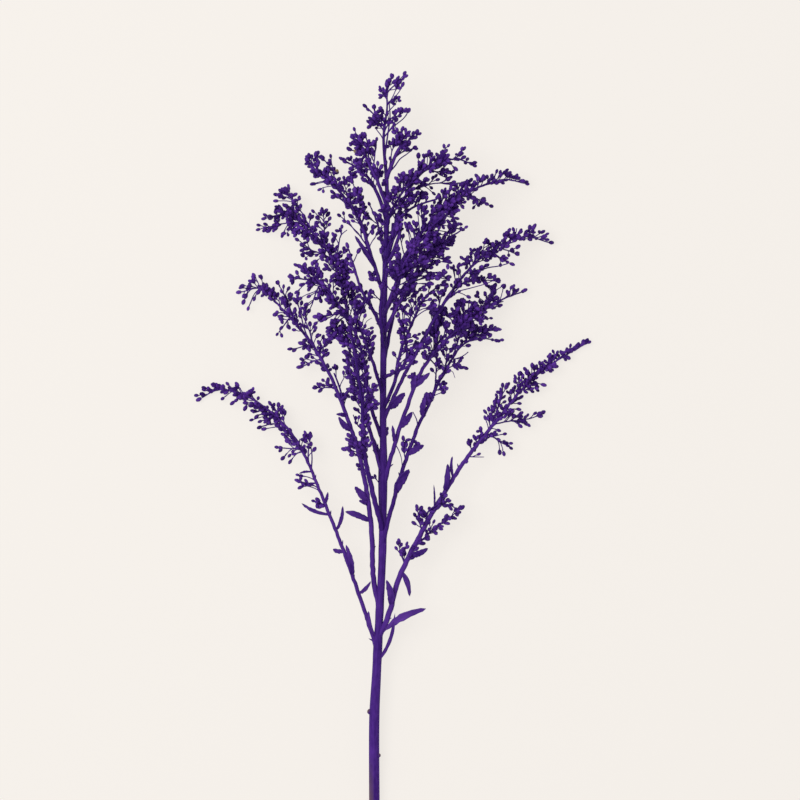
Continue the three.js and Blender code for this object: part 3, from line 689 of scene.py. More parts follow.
leaves = {}
for name, rows in LEAVES.items():
    axis = stem if name == "main_stem" else axes[name]
    leaves[name] = [(leaf_line(axis, row), row[4], row[6:]) for row in rows]
    for line, _, _ in leaves[name]:
        fill(name, line_balls(line))
print("leaves:", sum(len(rows) for rows in leaves.values()))

# %% Twigs
TWIG_RADII = (0.4, 0.3)
TWIG_BARE = 1.5
TWIG_END_STALK = 0.3
TWIG_HEAD_STALK = 1.2
TWIG_HEAD_STEP = 4.3
TWIG_HEAD_SHARES = (0.2, 0.9)
TWIG_HEAD_ANGLES = (1.1, 1.9)
TWIG_HEAD_FORWARD = 0.9


class Twig:
    """A straight twig with heads on alternate sides and one at its end."""

    def __init__(self, root, direction, length, seed):
        self.line = Line([root, root + direction * length], TWIG_RADII)
        self.direction, self.seed = direction, seed
        self.heads = [Head(self.line.at(1), direction, TWIG_END_STALK, seed)]
        for i in range(1, int((length - TWIG_BARE) // TWIG_HEAD_STEP) + 1):
            share = float(np.clip(1 - i * TWIG_HEAD_STEP / length, *TWIG_HEAD_SHARES))
            angle = (1 if i % 2 else -1) * between(*TWIG_HEAD_ANGLES, seed + 7 * i)
            way = outward(self.line, share, angle, TWIG_HEAD_FORWARD)
            self.heads.append(Head(self.line.at(share), way, TWIG_HEAD_STALK, seed + 7 * i))

    def middle(self):
        return self.heads[0].middle()

    def balls(self, fine):
        found = line_balls(self.line, FINE_BALL_STEP if fine else BALL_STEP)
        for head in self.heads:
            found += head.balls(fine)
        return found


print("a twig bears a head every", TWIG_HEAD_STEP, "mm")

# %% Steps along a plume
STATION = 3.2
LAST_STATION = 1.5
# The sizes of the twigs: at a plume's ends, more in its middle, and how early the middle comes.
PLUME_ENDS, PLUME_MIDDLE, PLUME_EARLY = 0.6, 0.6, 0.7
# A factor on that: at its root, and what it loses up to its tip.
PLUME_ROOT, PLUME_LOSS = 1.1, 0.5


def plume_width(along):
    """The size of a spray's twigs at a share of its flowering length, against its longest twig."""
    swell = PLUME_ENDS + PLUME_MIDDLE * math.sin(math.pi * along**PLUME_EARLY)
    return swell * (PLUME_ROOT - PLUME_LOSS * along)


def stations(line, bare):
    """The numbers of the steps along an axis past its bare part, and their shares of its length."""
    k = 0
    while bare * line.length + k * STATION < line.length - LAST_STATION:
        yield k, bare + k * STATION / line.length
        k += 1


print("a step is", STATION, "mm, twigs are widest at", round(max(plume_width(i / 9) for i in range(10)), 2))

# %% Flowers along an axis
TWIG_EVERY = 3
HEAD_EVERY = 2
SINGLE_STALK = (1.2, 3.4)
SINGLE_EXTRA = 0.5
SHORTEST_TWIG = 5.5
TWIGS_END = 0.9
TWIG_SIZES = (0.75, 1)
GOLDEN_ANGLE = math.radians(137.5)
SECUND_ANGLES = (math.radians(150), math.radians(80))
TRIES = 5
TRY_TURN = 1.3
TRY_SHRINK = 0.12
# In the filling some steps stay empty, and the others point further forwards.
FILL_SHARE = 0.55
FILL_FORWARD = 1.7


def flowers_along(owner, line, bare, longest, seed, filling):
    """The twigs and heads of an axis: those that the solids bear, or those that fill the steps between."""
    placed = []
    for k, share in stations(line, bare):
        along = (share - bare) / (1 - bare)
        key = seed * 1000 + k * 10
        size = longest * plume_width(along) * between(*TWIG_SIZES, key)
        bears_twig = size >= SHORTEST_TWIG and along < TWIGS_END
        if (k % (TWIG_EVERY if bears_twig else HEAD_EVERY) == 0) == filling:
            continue
        if filling and chance(key + 3) > FILL_SHARE:
            continue
        turn = k * GOLDEN_ANGLE + chance(key + 1)
        forward = FILL_FORWARD if filling else 1
        widest = SECUND_ANGLES[0] + (SECUND_ANGLES[1] - SECUND_ANGLES[0]) * along
        for attempt in range(TRIES):
            angle = math.sin(turn + attempt * TRY_TURN) * widest
            direction = outward(line, share, angle, forward)
            if bears_twig:
                piece = Twig(line.at(share), direction, size * (1 - TRY_SHRINK * attempt), key)
            else:
                piece = Head(line.at(share), direction, between(*SINGLE_STALK, key + 2) + SINGLE_EXTRA, key)
            if filling and in_window(piece.middle()):
                continue
            if settle(owner, piece.balls(filling)):
                placed.append(piece)
                break
    return placed


print("every step has", TRIES, "tries")

# %% Flowers on every axis
FORK_BARE = 0.3
TOP_TWIG_BARE = 0.35
FILL_FORK_TWIG = 7
TOP_SEED = 1000
SPRAY_SEEDS = 20
seeds = {name: SPRAY_SEEDS * (place + 1) for place, name in enumerate(SPRAYS)}
flowers = {name: [] for name in ("main_stem", *SPRAYS)}


def flowering_lines(filling):
    """The owner, line, bare share, longest twig and seed of everything that bears flowers."""
    for i, twig in enumerate(top_twigs):
        yield "main_stem", twig, TOP_TWIG_BARE, 0, TOP_SEED + i
    for name, (_, bare, longest, _) in SPRAYS.items():
        for i, fork in enumerate(forks[name]):
            fork_longest = max(fork.longest, FILL_FORK_TWIG) if filling else fork.longest
            yield name, fork, FORK_BARE, fork_longest, seeds[name] + i + 1
        yield name, axes[name], bare, longest, seeds[name]


def flower_all(filling):
    """Places the flowers of every line and tells how many twigs and single heads they are."""
    count = 0
    for owner, *row in flowering_lines(filling):
        placed = flowers_along(owner, *row, filling)
        flowers[owner] += placed
        count += len(placed)
    return count


placed_first = flower_all(filling=False)
print("placed as in the solids:", placed_first, "twigs and single heads")

# %% [markdown]
# ## From coarse heads to fine ones
#
# Real heads stand closer than the solids' coarse ones: about 2 mm from middle to middle. From here on all
# heads are fine, so the balls of those that are placed already shrink with them.

# %% Fine balls
for balls in cells.values():
    balls[:] = [(c, FINE_HEAD if head else radius, head, owner) for c, radius, head, owner in balls]
print("a fine head keeps", FINE_HEAD, "mm free round its middle")

# %% [markdown]
# ## Bunches seen in the photograph
#
# A rule alone makes every part of a plume alike, while on the real stem the heads gather in bunches on
# thin side stalks, with clear gaps between. So the bunches that the photograph shows are listed, spray by
# spray. Such a list is long, but nothing else brings back the rhythm of this one stem.

# %% The bunches
# A bunch: its pixel, across and down, its reach in pixels and its number of heads.
BUNCHES = {
    "main_stem": [
        (391.5, 75, 1.5, 1), (403, 75, 2, 2), (398, 79, 3, 5), (402.5, 84, 2, 2), (397, 86, 2.5, 3),
        (388, 80, 2, 2), (386, 84, 1.5, 1), (379.5, 88, 2, 2), (384, 91, 2.5, 4), (381, 95, 2, 2),
        (396.5, 98, 2.5, 3), (393, 102, 2.5, 3), (367.5, 107, 1.5, 1), (374.5, 107, 2, 2),
        (381, 109, 2, 3), (375.5, 120, 7.5, 20), (383, 117, 3, 4), (371, 124, 3.5, 4),
        (388.5, 122, 2.5, 3), (395, 112, 2.5, 3), (400.5, 109, 3, 4), (396, 118, 2, 2),
        (408, 109, 1.5, 1), (376, 213, 2.5, 3), (380, 218, 3, 3), (383, 211, 2.5, 3), (384, 258, 2.5, 3),
        (389, 258, 3, 5), (395, 257, 3, 5), (392, 262, 3, 4), (378, 428, 2.5, 3), (386, 431, 2, 2),
        (375, 477, 2, 2), (390, 533, 3, 5), (389, 523, 2, 2), (374, 385, 2, 2), (376, 390, 2, 2),
        (374, 396, 2, 2), (378, 396, 2, 1), (388, 172, 3, 4), (384, 182, 3, 3), (387, 192, 3, 4),
        (389, 203, 3, 4), (385, 163, 2.5, 3),
    ],
    "spray_right_top": [
        (400, 137, 7.5, 20), (396, 142, 4.5, 7), (390, 144, 3.5, 4), (402, 129, 2, 1), (407, 133, 3.5, 5),
        (413, 136, 3.5, 4), (417, 133, 2, 1), (405, 146, 3.5, 5), (414, 147, 1.5, 1), (409, 149, 2, 2),
        (393, 141, 3, 3),
    ],
    "spray_left_tip": [
        (354, 136, 3.5, 5), (360, 137, 2.5, 3), (364, 134, 2, 1), (351, 143, 2, 2), (357, 145, 4, 7),
        (359, 151, 4, 7), (369, 142, 3.5, 5), (374, 143, 3, 4), (377, 138, 2, 1), (350, 149, 2.5, 2),
        (365, 150, 3, 3), (372, 150, 3, 4), (365, 144, 3, 3), (362, 152, 3, 4), (355, 140, 3, 3),
    ],
    "spray_left_top": [
        (343, 159, 2.5, 2), (351, 157, 3, 3), (356, 161, 3, 4), (352, 167, 3, 3), (362, 158, 4, 5),
        (367, 163, 4.5, 7), (373, 168, 5, 8), (380, 172, 4, 5), (375, 174, 3.5, 4), (360, 165, 4, 6),
    ],
    "spray_right_first": [
        (446, 147, 2.5, 2), (443, 151, 2.5, 2), (441, 157, 4, 6), (445, 161, 4, 6), (436, 163, 5, 8),
        (432, 158, 3, 3), (458, 153, 3, 3), (462, 155, 2.5, 2), (467, 158, 2, 1), (471, 163, 1.5, 1),
        (455, 168, 3, 3), (450, 177, 2, 1), (444, 169, 3, 3), (425, 156, 3, 3), (428, 154, 2, 1),
        (422, 164, 4, 6), (418, 167, 2.5, 2), (430, 167, 4, 6), (426, 192, 2, 1), (432, 191, 2, 1),
        (438, 197, 2.5, 2), (422, 195, 4, 5), (427, 198, 3, 4), (417, 199, 3, 3),
    ],
    "spray_front_top": [
        (409, 172, 3, 3), (404, 176, 4, 6), (399, 179, 4, 6), (413, 176, 4, 6), (416, 181, 4, 5),
        (396, 189, 5, 8), (407, 212, 5, 8), (407, 206, 3, 4), (402, 204, 3, 4), (411, 198, 3, 4),
    ],
    "spray_right_second": [
        (450, 188, 2, 1), (446, 192, 3, 3), (457, 190, 3, 3), (463, 185, 3, 3), (468, 182, 3, 3),
        (474, 184, 3, 3), (480, 178, 3, 3), (484, 177, 2.5, 2), (489, 181, 3.5, 4), (497, 171, 2, 1),
        (504, 171, 3, 3), (509, 173, 2.5, 2), (512, 176, 2.5, 2), (517, 176, 2.5, 2), (521, 180, 2, 1),
        (526, 181, 2, 1), (475, 200, 3, 4), (483, 198, 2, 1), (486, 203, 2, 1), (465, 192, 5, 8),
        (458, 198, 6, 10), (450, 203, 6, 10), (443, 208, 6, 10), (470, 196, 4, 5), (455, 217, 3.5, 4),
        (460, 223, 2, 1), (462, 229, 2, 1), (449, 231, 3, 3), (454, 236, 2, 1), (450, 241, 4, 5),
        (447, 206, 5, 7), (455, 208, 4, 6), (463, 204, 3, 4), (450, 211, 3, 4), (440, 199, 3, 3),
    ],
    "spray_front_high": [
        (436, 222, 6, 12), (442, 215, 5, 8), (436, 235, 5, 8), (430, 228, 5, 8), (425, 208, 3.5, 5),
        (418, 209, 2, 1), (408, 225, 4, 5), (415, 223, 2, 2), (413, 229, 3, 5), (441, 222, 4, 6),
        (410, 267, 4, 6), (402, 272, 3, 4), (409, 275, 3, 4), (426, 262, 3, 4), (412, 250, 4, 8),
        (416, 243, 4, 7), (408, 261, 4, 8), (402, 269, 3.5, 6), (419, 236, 3.5, 6), (397, 279, 3, 5),
        (428, 236, 4, 8), (428, 244, 4, 8), (399, 256, 3, 5),
    ],
    "spray_right_third": [
        (438, 245, 5, 8), (432, 252, 5, 8), (440, 252, 4, 6), (426, 258, 5, 8), (447, 258, 3, 3),
        (444, 246, 4, 4), (430, 275, 5, 8), (438, 275, 4, 5), (443, 272, 3.5, 4), (448, 276, 3.5, 4),
        (428, 282, 3, 3), (449, 262, 3, 3), (437, 259, 3, 3), (424, 266, 3, 4),
    ],
    "spray_right_fourth": [
        (544, 237, 2, 1), (541, 232, 3, 3), (530, 231, 3, 3), (526, 233, 3, 3), (520, 230, 2, 2),
        (515, 233, 2.5, 2), (510, 235, 3, 3), (503, 240, 2.5, 2), (498, 243, 3, 3), (489, 243, 2.5, 2),
        (493, 246, 3, 3), (512, 249, 2, 1), (517, 253, 2, 1), (502, 258, 3, 3), (505, 260, 2, 1),
        (511, 264, 2, 1), (473, 251, 2.5, 2), (470, 254, 3, 3), (478, 254, 4, 5), (484, 254, 4, 5),
        (491, 254, 4, 5), (463, 258, 2.5, 2), (468, 261, 4, 5), (457, 264, 3, 3), (453, 268, 3, 3),
        (460, 270, 3, 3), (489, 275, 2.5, 3), (494, 277, 2, 1), (498, 280, 2, 1), (483, 279, 3, 3),
        (475, 279, 3, 3), (467, 283, 3, 3), (460, 286, 3, 3), (473, 272, 4, 5), (465, 294, 2, 1),
        (457, 282, 3, 3),
    ],
    "spray_right_fifth": [
        (463, 301, 4, 6), (457, 304, 4, 5), (490, 286, 2.5, 2), (494, 290, 3, 3), (499, 287, 2, 1),
        (503, 289, 2, 1), (508, 293, 2, 1), (513, 291, 2.5, 2), (517, 290, 2, 1), (478, 296, 3, 3),
        (486, 295, 3, 3), (491, 298, 3, 3), (488, 303, 4, 5), (484, 307, 3, 3), (500, 304, 2, 1),
        (474, 305, 5, 8), (479, 310, 6, 12), (473, 314, 6, 12), (480, 319, 4, 5), (487, 317, 3, 3),
        (465, 318, 6, 10), (456, 320, 5, 8), (455, 311, 5, 6), (443, 310, 5, 8), (433, 312, 4, 5),
        (433, 332, 5, 8), (437, 321, 4, 5), (441, 340, 4, 5), (413, 375, 3, 4), (418, 377, 3, 4),
        (440, 319, 5, 8), (446, 324, 4, 6), (436, 325, 4, 6), (449, 331, 3, 4), (426, 332, 3, 4),
    ],
    "spray_right_mid": [
        (497, 328, 2, 1), (492, 325, 2, 1), (484, 327, 3, 3), (486, 331, 2.5, 2), (478, 328, 4, 6),
        (482, 334, 3, 3), (490, 335, 2, 1), (495, 339, 2, 1), (462, 326, 5, 8), (470, 325, 5, 8),
        (455, 330, 4, 5), (466, 335, 4, 5), (474, 335, 3, 4), (428, 357, 3, 3), (436, 355, 3, 3),
        (432, 352, 3, 3), (438, 361, 3, 3), (424, 353, 2.5, 2), (417, 441, 3, 4), (441, 387, 3, 4),
        (444, 391, 2, 2), (453, 363, 2, 2), (459, 362, 2, 2), (456, 366, 2, 2), (462, 366, 2, 2),
        (430, 395, 4, 6), (426, 400, 4, 5), (404, 438, 2.5, 4), (404, 444, 3, 5), (404, 450, 2.5, 4),
    ],
    "spray_right_inner": [
        (431, 292, 3, 3), (434, 299, 3, 3), (432, 306, 4, 5), (424, 303, 2.5, 2), (445, 284, 3, 3),
        (440, 290, 3, 3), (428, 340, 4, 5), (425, 345, 4, 5), (416, 335, 3, 4), (416, 345, 4, 5),
        (413, 352, 4, 5), (410, 358, 4, 5), (414, 362, 2.5, 2), (402, 307, 4, 6), (396, 304, 3, 4),
        (398, 314, 3, 4), (402, 322, 4, 7), (402, 329, 4, 6), (401, 336, 3, 4), (405, 342, 3, 4),
        (405, 349, 3, 4),
    ],
    "spray_left_high": [
        (309, 156, 3, 3), (307, 161, 3, 3), (310, 165, 3, 3), (315, 155, 3.5, 5), (322, 157, 3, 4),
        (318, 163, 3.5, 4), (329, 163, 2.5, 2), (333, 167, 3, 3), (316, 170, 3, 3), (314, 176, 2.5, 2),
        (312, 183, 2, 1), (316, 183, 2, 1), (322, 187, 2.5, 2), (334, 196, 2, 1), (320, 173, 4, 5),
        (326, 172, 5, 7), (330, 180, 5, 7), (336, 172, 3, 3), (345, 178, 3.5, 4), (353, 174, 4, 5),
        (352, 180, 3, 3), (350, 194, 4, 5), (373, 227, 3, 4), (378, 232, 3, 4), (367, 226, 2, 1),
        (361, 198, 5, 10), (357, 190, 4, 7), (364, 206, 3.5, 6), (360, 210, 3, 4), (365, 215, 3, 4),
    ],
    "spray_left_inner": [
        (289, 187, 2, 1), (286, 190, 4, 6), (281, 192, 3, 4), (277, 194, 2, 1), (276, 200, 2, 1),
        (283, 196, 3, 3), (293, 193, 3, 4), (298, 197, 3, 3), (295, 203, 3, 3), (299, 207, 3, 3),
        (280, 207, 3, 3), (275, 211, 3, 3), (286, 205, 3, 4), (290, 210, 4, 6), (284, 213, 4, 5),
        (266, 216, 2.5, 2), (271, 216, 2.5, 2), (278, 216, 3, 3), (266, 223, 2, 1), (277, 222, 3, 3),
        (257, 227, 2, 1), (265, 229, 2, 1), (278, 225, 2.5, 2), (282, 234, 2, 1), (287, 232, 2.5, 2),
        (296, 233, 3, 3), (292, 226, 4, 5), (290, 220, 4, 5), (300, 228, 4, 5), (305, 234, 4, 5),
        (296, 215, 4, 5), (301, 241, 2, 1), (307, 241, 2.5, 2), (302, 249, 2, 1), (311, 215, 3, 3),
        (316, 213, 2, 1), (321, 212, 2.5, 2), (325, 211, 3, 3), (328, 220, 2, 1), (319, 220, 2.5, 2),
        (317, 224, 2, 1), (334, 235, 3, 3), (343, 227, 2.5, 3), (347, 229, 2, 1), (341, 229, 2.5, 2),
        (327, 234, 2.5, 2), (346, 249, 4, 6), (350, 255, 2, 2), (347, 270, 4, 6), (340, 262, 4, 6),
        (325, 266, 3, 3), (306, 252, 2.5, 2), (305, 257, 2.5, 2), (313, 251, 2.5, 2), (318, 254, 2, 1),
        (316, 260, 2.5, 2), (344, 284, 4, 7), (344, 293, 4, 7), (342, 301, 3, 4), (338, 275, 4, 6),
        (346, 277, 3, 4), (352, 285, 3, 3), (336, 303, 3, 4), (322, 233, 3, 4), (316, 226, 3, 3),
        (322, 241, 4, 6), (330, 248, 4, 7), (336, 257, 4, 7), (341, 266, 4, 7), (345, 276, 4, 7),
        (348, 287, 4, 7),
    ],
    "spray_left_third": [
        (296, 264, 2, 1), (303, 266, 3, 4), (306, 270, 4, 5), (291, 276, 2.5, 2), (292, 280, 3, 3),
        (311, 268, 3, 4), (318, 270, 3, 4), (297, 291, 3, 3), (304, 295, 2, 1), (310, 295, 2, 1),
        (308, 302, 2, 1), (304, 308, 3.5, 4), (310, 309, 2, 1), (320, 314, 2.5, 2), (319, 320, 2, 1),
        (331, 312, 3, 3), (335, 322, 5, 8), (330, 328, 4, 5), (338, 330, 5, 8), (332, 335, 4, 5),
        (341, 337, 5, 6), (345, 342, 4, 5), (321, 290, 4, 7), (311, 284, 4, 6), (317, 281, 3, 4),
        (331, 300, 4, 5), (327, 292, 4, 6), (334, 306, 3, 4), (304, 284, 2, 2), (320, 298, 3, 3),
    ],
    "spray_left_mid": [
        (244, 284, 2.5, 2), (245, 294, 2.5, 3), (255, 276, 2.5, 2), (261, 277, 2.5, 2), (253, 281, 3, 3),
        (250, 284, 2, 1), (243, 301, 2, 1), (248, 307, 2, 1), (254, 297, 2, 1), (258, 291, 2, 1),
        (263, 287, 4, 6), (266, 291, 4, 5), (272, 292, 4, 5), (278, 282, 2, 1), (283, 286, 2, 1),
        (288, 287, 2, 1), (275, 312, 3, 3), (281, 318, 2.5, 3), (282, 326, 2, 1), (287, 325, 2, 1),
        (281, 332, 2, 1), (283, 298, 3, 3), (290, 296, 4, 5), (297, 300, 3, 3), (303, 341, 2.5, 2),
        (296, 348, 2, 1), (307, 346, 3, 3), (309, 353, 3, 3), (306, 358, 2, 1), (301, 366, 2, 1),
        (314, 330, 2, 1), (317, 335, 2, 2), (323, 336, 2.5, 2), (329, 342, 3, 3), (325, 345, 2, 2),
        (324, 350, 3, 3), (336, 367, 3, 3), (345, 375, 3, 3), (320, 384, 2, 2), (320, 389, 2, 1),
        (316, 386, 2, 1), (328, 384, 2, 1), (347, 394, 4, 4), (348, 440, 3, 3), (352, 445, 3.5, 4),
        (347, 449, 2, 1), (356, 446, 3, 3),
    ],
    "spray_left_center": [
        (370, 292, 3, 4), (370, 297, 2.5, 2), (369, 328, 2, 1), (369, 335, 2, 1), (372, 345, 2, 1),
        (354, 319, 4, 6), (363, 310, 3, 4), (357, 313, 3, 4), (355, 327, 3, 4), (361, 304, 3, 3),
        (356, 303, 4, 5),
    ],
    "spray_left_low": [
        (207, 388, 2.5, 2), (213, 385, 2.5, 2), (218, 385, 3, 3), (223, 387, 2.5, 2), (229, 384, 2, 1),
        (232, 389, 3, 3), (238, 386, 2.5, 2), (225, 396, 2, 1), (240, 392, 3, 3), (232, 402, 2, 1),
        (236, 399, 2, 1), (242, 395, 3.5, 4), (247, 392, 3, 3), (251, 391, 3.5, 4), (246, 404, 2.5, 2),
        (254, 412, 3, 3), (258, 414, 2.5, 2), (252, 419, 2, 1), (260, 420, 2, 1), (259, 426, 2, 1),
        (264, 428, 2, 1), (264, 413, 4, 6), (268, 418, 4, 6), (272, 405, 2.5, 2), (280, 409, 2, 2),
        (270, 424, 2, 2), (272, 414, 5, 7), (277, 418, 5, 7), (287, 440, 2, 1), (281, 449, 2, 1),
        (283, 458, 2, 1), (290, 460, 2, 1), (292, 452, 2, 1), (296, 453, 2, 1), (304, 434, 2.5, 2),
        (303, 438, 2.5, 2), (309, 437, 3, 3), (311, 446, 2.5, 2), (316, 500, 3, 4), (321, 504, 3, 4),
        (203, 394, 2, 2), (211, 390, 2, 2), (217, 388, 2, 2), (222, 391, 2, 2), (227, 390, 2, 3),
        (236, 393, 3, 4), (245, 399, 3, 4), (256, 404, 3, 4), (262, 409, 3, 4), (283, 424, 3, 3),
        (290, 430, 3, 3), (297, 441, 3, 3), (303, 447, 3, 3), (300, 474, 2, 3), (298, 480, 2, 2),
        (303, 484, 2.5, 4), (309, 483, 2, 2),
    ],
    "spray_right_low": [
        (583, 343, 2, 2), (577, 346, 2.5, 3), (572, 350, 3, 3), (567, 350, 3, 3), (568, 356, 2, 1),
        (563, 353, 3, 4), (556, 353, 3, 3), (549, 355, 3, 3), (553, 358, 3, 3), (558, 358, 3, 3),
        (541, 363, 2.5, 2), (545, 366, 3, 4), (535, 368, 3, 3), (528, 371, 2.5, 2), (524, 375, 2.5, 2),
        (540, 370, 4, 5), (534, 374, 4, 5), (556, 366, 2, 1), (550, 368, 3, 3), (528, 380, 4, 6),
        (534, 382, 4, 5), (541, 383, 2, 1), (536, 387, 3, 3), (530, 389, 3, 3), (522, 388, 4, 5),
        (517, 381, 2.5, 2), (514, 389, 3, 3), (507, 383, 2.5, 2), (505, 388, 2, 1), (511, 392, 3, 3),
        (501, 391, 2.5, 2), (500, 396, 2.5, 2), (494, 402, 2.5, 2), (498, 404, 2.5, 2), (493, 408, 3, 3),
        (485, 417, 2, 1), (488, 418, 2.5, 2), (517, 408, 2.5, 2), (512, 413, 3, 3), (525, 416, 2, 1),
        (520, 425, 2, 1), (528, 423, 2, 1), (539, 415, 2, 1), (498, 429, 2, 1), (492, 433, 2.5, 2),
        (504, 433, 2, 1), (506, 442, 2, 1), (509, 446, 2, 1), (503, 449, 2, 1), (500, 450, 2, 1),
        (470, 441, 3, 3), (476, 437, 3, 3), (481, 436, 3, 3), (474, 445, 3, 3), (478, 454, 2, 2),
        (410, 556, 3, 4), (402, 552, 3, 4), (405, 547, 3, 3), (414, 548, 3, 4), (420, 541, 3, 4),
        (427, 536, 3, 4), (434, 531, 3, 4), (440, 526, 3, 4), (446, 521, 3, 4), (452, 517, 3, 4),
        (457, 512, 3, 3), (460, 507, 2, 2), (418, 518, 3, 4), (423, 513, 3, 4), (422, 521, 3, 3),
        (430, 509, 3, 4), (437, 506, 3, 4), (444, 503, 3, 4), (450, 505, 3, 4), (455, 510, 2, 2),
        (587, 341, 2, 2), (581, 344, 2, 2), (574, 348, 2, 3), (564, 356, 3, 3), (548, 361, 3, 4),
        (541, 369, 3, 4), (533, 378, 3, 4), (525, 384, 3, 4), (519, 391, 3, 3), (511, 400, 3, 3),
        (505, 407, 3, 4), (498, 413, 3, 4), (492, 419, 2.5, 3), (481, 430, 3, 3),
    ],
    "spray_front_mid": [
        (400, 218, 4, 7), (399, 226, 4, 6), (398, 252, 3, 5),
    ],
    "spray_front_low": [
        (363, 433, 4, 6), (364, 441, 4, 7), (358, 443, 4, 6), (351, 441, 3, 4), (348, 447, 2, 2),
        (364, 420, 3, 3), (362, 427, 3, 4), (370, 397, 4, 5), (373, 388, 3, 4), (375, 405, 2, 2),
        (363, 447, 3, 4),
    ],
}

print("bunches:", sum(len(rows) for rows in BUNCHES.values()), "on", len(BUNCHES), "pieces")

# %% The axis nearest to a pixel
# About so many millimetres of the plant to a pixel of the photograph.
PIXEL = 0.6
carriers = {name: [axes[name], *forks[name]] for name in SPRAYS}
carriers["main_stem"] = [stem, *top_twigs]


def nearest_carrier(owner, across, down):
    """The gap in mm from a pixel to the closest line of a spray, its share of that line, and the line."""
    shares = np.linspace(0, 1, LINE_POINTS)
    found = []
    for line in carriers[owner]:
        gaps = np.linalg.norm(seen_at(line.along(shares)) - (across, down), axis=1)
        best = int(np.argmin(gaps))
        found.append((gaps[best] * PIXEL, shares[best], line))
    return min(found, key=lambda row: row[0])


print("lines that can carry a bunch:", sum(len(lines) for lines in carriers.values()))

# %% [markdown]
# ## Stalks seen in the photograph
#
# Some stalks stand so clear of the buds that the photograph shows their whole course, and a few shoots
# run up beside the main stalk like ribs. They are listed by the pixels that they pass. Each grows from a
# line of its own spray, and most rise a little on their way. From then on they can carry bunches as well.

# %% The stalks that are seen
# A stalk: its radius and its rise, both in mm, and the pixels that it passes, the first at its root.
STALKS_SEEN = {
    "main_stem": [
        (0.5, 1, [(388, 135), (393, 126), (398, 122), (404, 117), (408, 111)]),
        (0.45, 1, [(390, 131), (395, 120), (395.5, 112)]),
        (0.45, -1, [(385, 141), (382, 136), (376, 128)]),
        (0.4, 1, [(387.5, 103), (391, 99), (394, 93), (396, 88), (397.5, 82)]),
        (0.4, 2, [(388, 112), (394.5, 104), (397, 100)]),
        (0.4, 2, [(388.5, 104), (393, 98), (399, 91), (402, 85)]),
        (0.6, 1, [(385.5, 158), (386, 146), (388, 132), (390, 116), (389, 100)]),
        (1.2, 1.5, [(383, 545), (385, 512), (386, 480), (386, 455), (385, 428)]),
        (1.1, 1.5, [(382, 535), (380.5, 508), (379.5, 482), (380, 458), (381.5, 436)]),
    ],
    "spray_right_top": [
        (0.5, 1, [(391, 173), (395, 165), (400, 158), (407, 153), (413, 148)]),
        (0.5, -1, [(388.5, 171), (390.5, 160), (392, 150), (395, 144)]),
    ],
    "spray_right_inner": [
        (1.0, 4, [(391, 377), (399, 370), (405, 363), (407, 350), (405, 337), (402, 322)]),
    ],
    "spray_right_first": [
        (0.9, 6, [(394, 228), (404, 214), (412, 207), (424, 202), (437, 198)]),
        (1.3, 3, [(387, 264), (391, 245), (395, 228), (396, 212)]),
        (1.5, 5, [(387, 268), (392, 254), (397, 241), (401, 228)]),
        (1.5, 6, [(386, 266), (389, 251), (392, 238), (393, 222)]),
    ],
    "spray_front_top": [(1.0, 4, [(387, 248), (392, 236), (398, 222), (402, 210)])],
    "spray_left_mid": [
        (0.8, 2, [(346, 408), (342, 395), (338, 382), (334, 372)]),
        (0.5, 2, [(319, 354), (314, 345), (308, 326), (301.5, 312), (297, 301)]),
    ],
    "spray_right_fourth": [
        (0.55, 2, [(443, 306), (449, 297), (463, 282), (476, 272), (487, 267), (499, 265), (508, 262.5)]),
        (0.4, 1.5, [(449, 298), (457, 291), (471, 287), (485, 283), (497, 278)]),
    ],
    "spray_left_low": [(0.5, 0, [(309, 470), (312, 455), (310, 440)])],
    "spray_left_center": [(0.28, 2, [(365, 330), (367, 320), (372, 317)])],
    "spray_right_fifth": [(0.35, 1, [(395, 443), (399, 450), (401.5, 458), (402, 465)])],
    "spray_right_mid": [
        (0.4, 2, [(404, 459), (404, 451), (403.5, 443), (404, 437)]),
        (0.5, 3, [(413, 440), (417, 432), (417, 420), (413, 411)]),
        (0.4, 1, [(446, 372), (455, 364), (466, 367)]),
        (0.3, 2, [(446, 371), (452, 370), (455, 377)]),
    ],
    "spray_right_low": [
        (0.65, 5, [(423, 522), (428, 511), (438, 504), (450, 504), (460, 511)]),
        (0.4, 1, [(472, 458), (478, 456), (484, 456)]),
    ],
}

SEEN_STALK_TIP = 0.6
side_stalks = {name: [] for name in carriers}


def stalk_seen(owner, radius, rise, pixels):
    """A stalk that leaves its spray at the first pixel and passes the others, at an even rise."""
    _, share, line = nearest_carrier(owner, *pixels[0])
    start = line.at(share)
    heights = start[2] + rise * np.linspace(0, 1, len(pixels))
    places = [seen_place(*pixel, height) for pixel, height in zip(pixels[1:], heights[1:])]
    return Line(smooth_through([start, *places]), (radius, radius * SEEN_STALK_TIP))


for name, rows in STALKS_SEEN.items():
    for row in rows:
        line = stalk_seen(name, *row)
        carriers[name].append(line)
        side_stalks[name].append(line)
        fill(name, line_balls(line, FINE_BALL_STEP))
print("stalks seen:", sum(len(rows) for rows in STALKS_SEEN.values()))

# %% [markdown]
# ## Side stalks that end in a bunch
#
# A photograph from above tells where a bunch is, but not how high. So a thin side stalk grows to it from
# the nearest place of its own spray, at about the height of the spray there, and tries other heights until
# it passes its neighbours. A bunch is then held by the plant from every side that it is looked at. Wide
# bunches get a second one behind or before them, because a plume is round and not flat.

# %% A side stalk
SIDE_RADII = (0.36, 0.26)
# How far before the nearest place it leaves its axis: a share of the gap, and more in mm.
SIDE_LEAVE, SIDE_SETBACK = 0.9, 2
# How far it may climb or sink: a share of the gap and a swing in mm, and the lowest end above the table.
SIDE_SLANT, SIDE_SWING, SIDE_LOWEST = 0.4, 2, 1.6
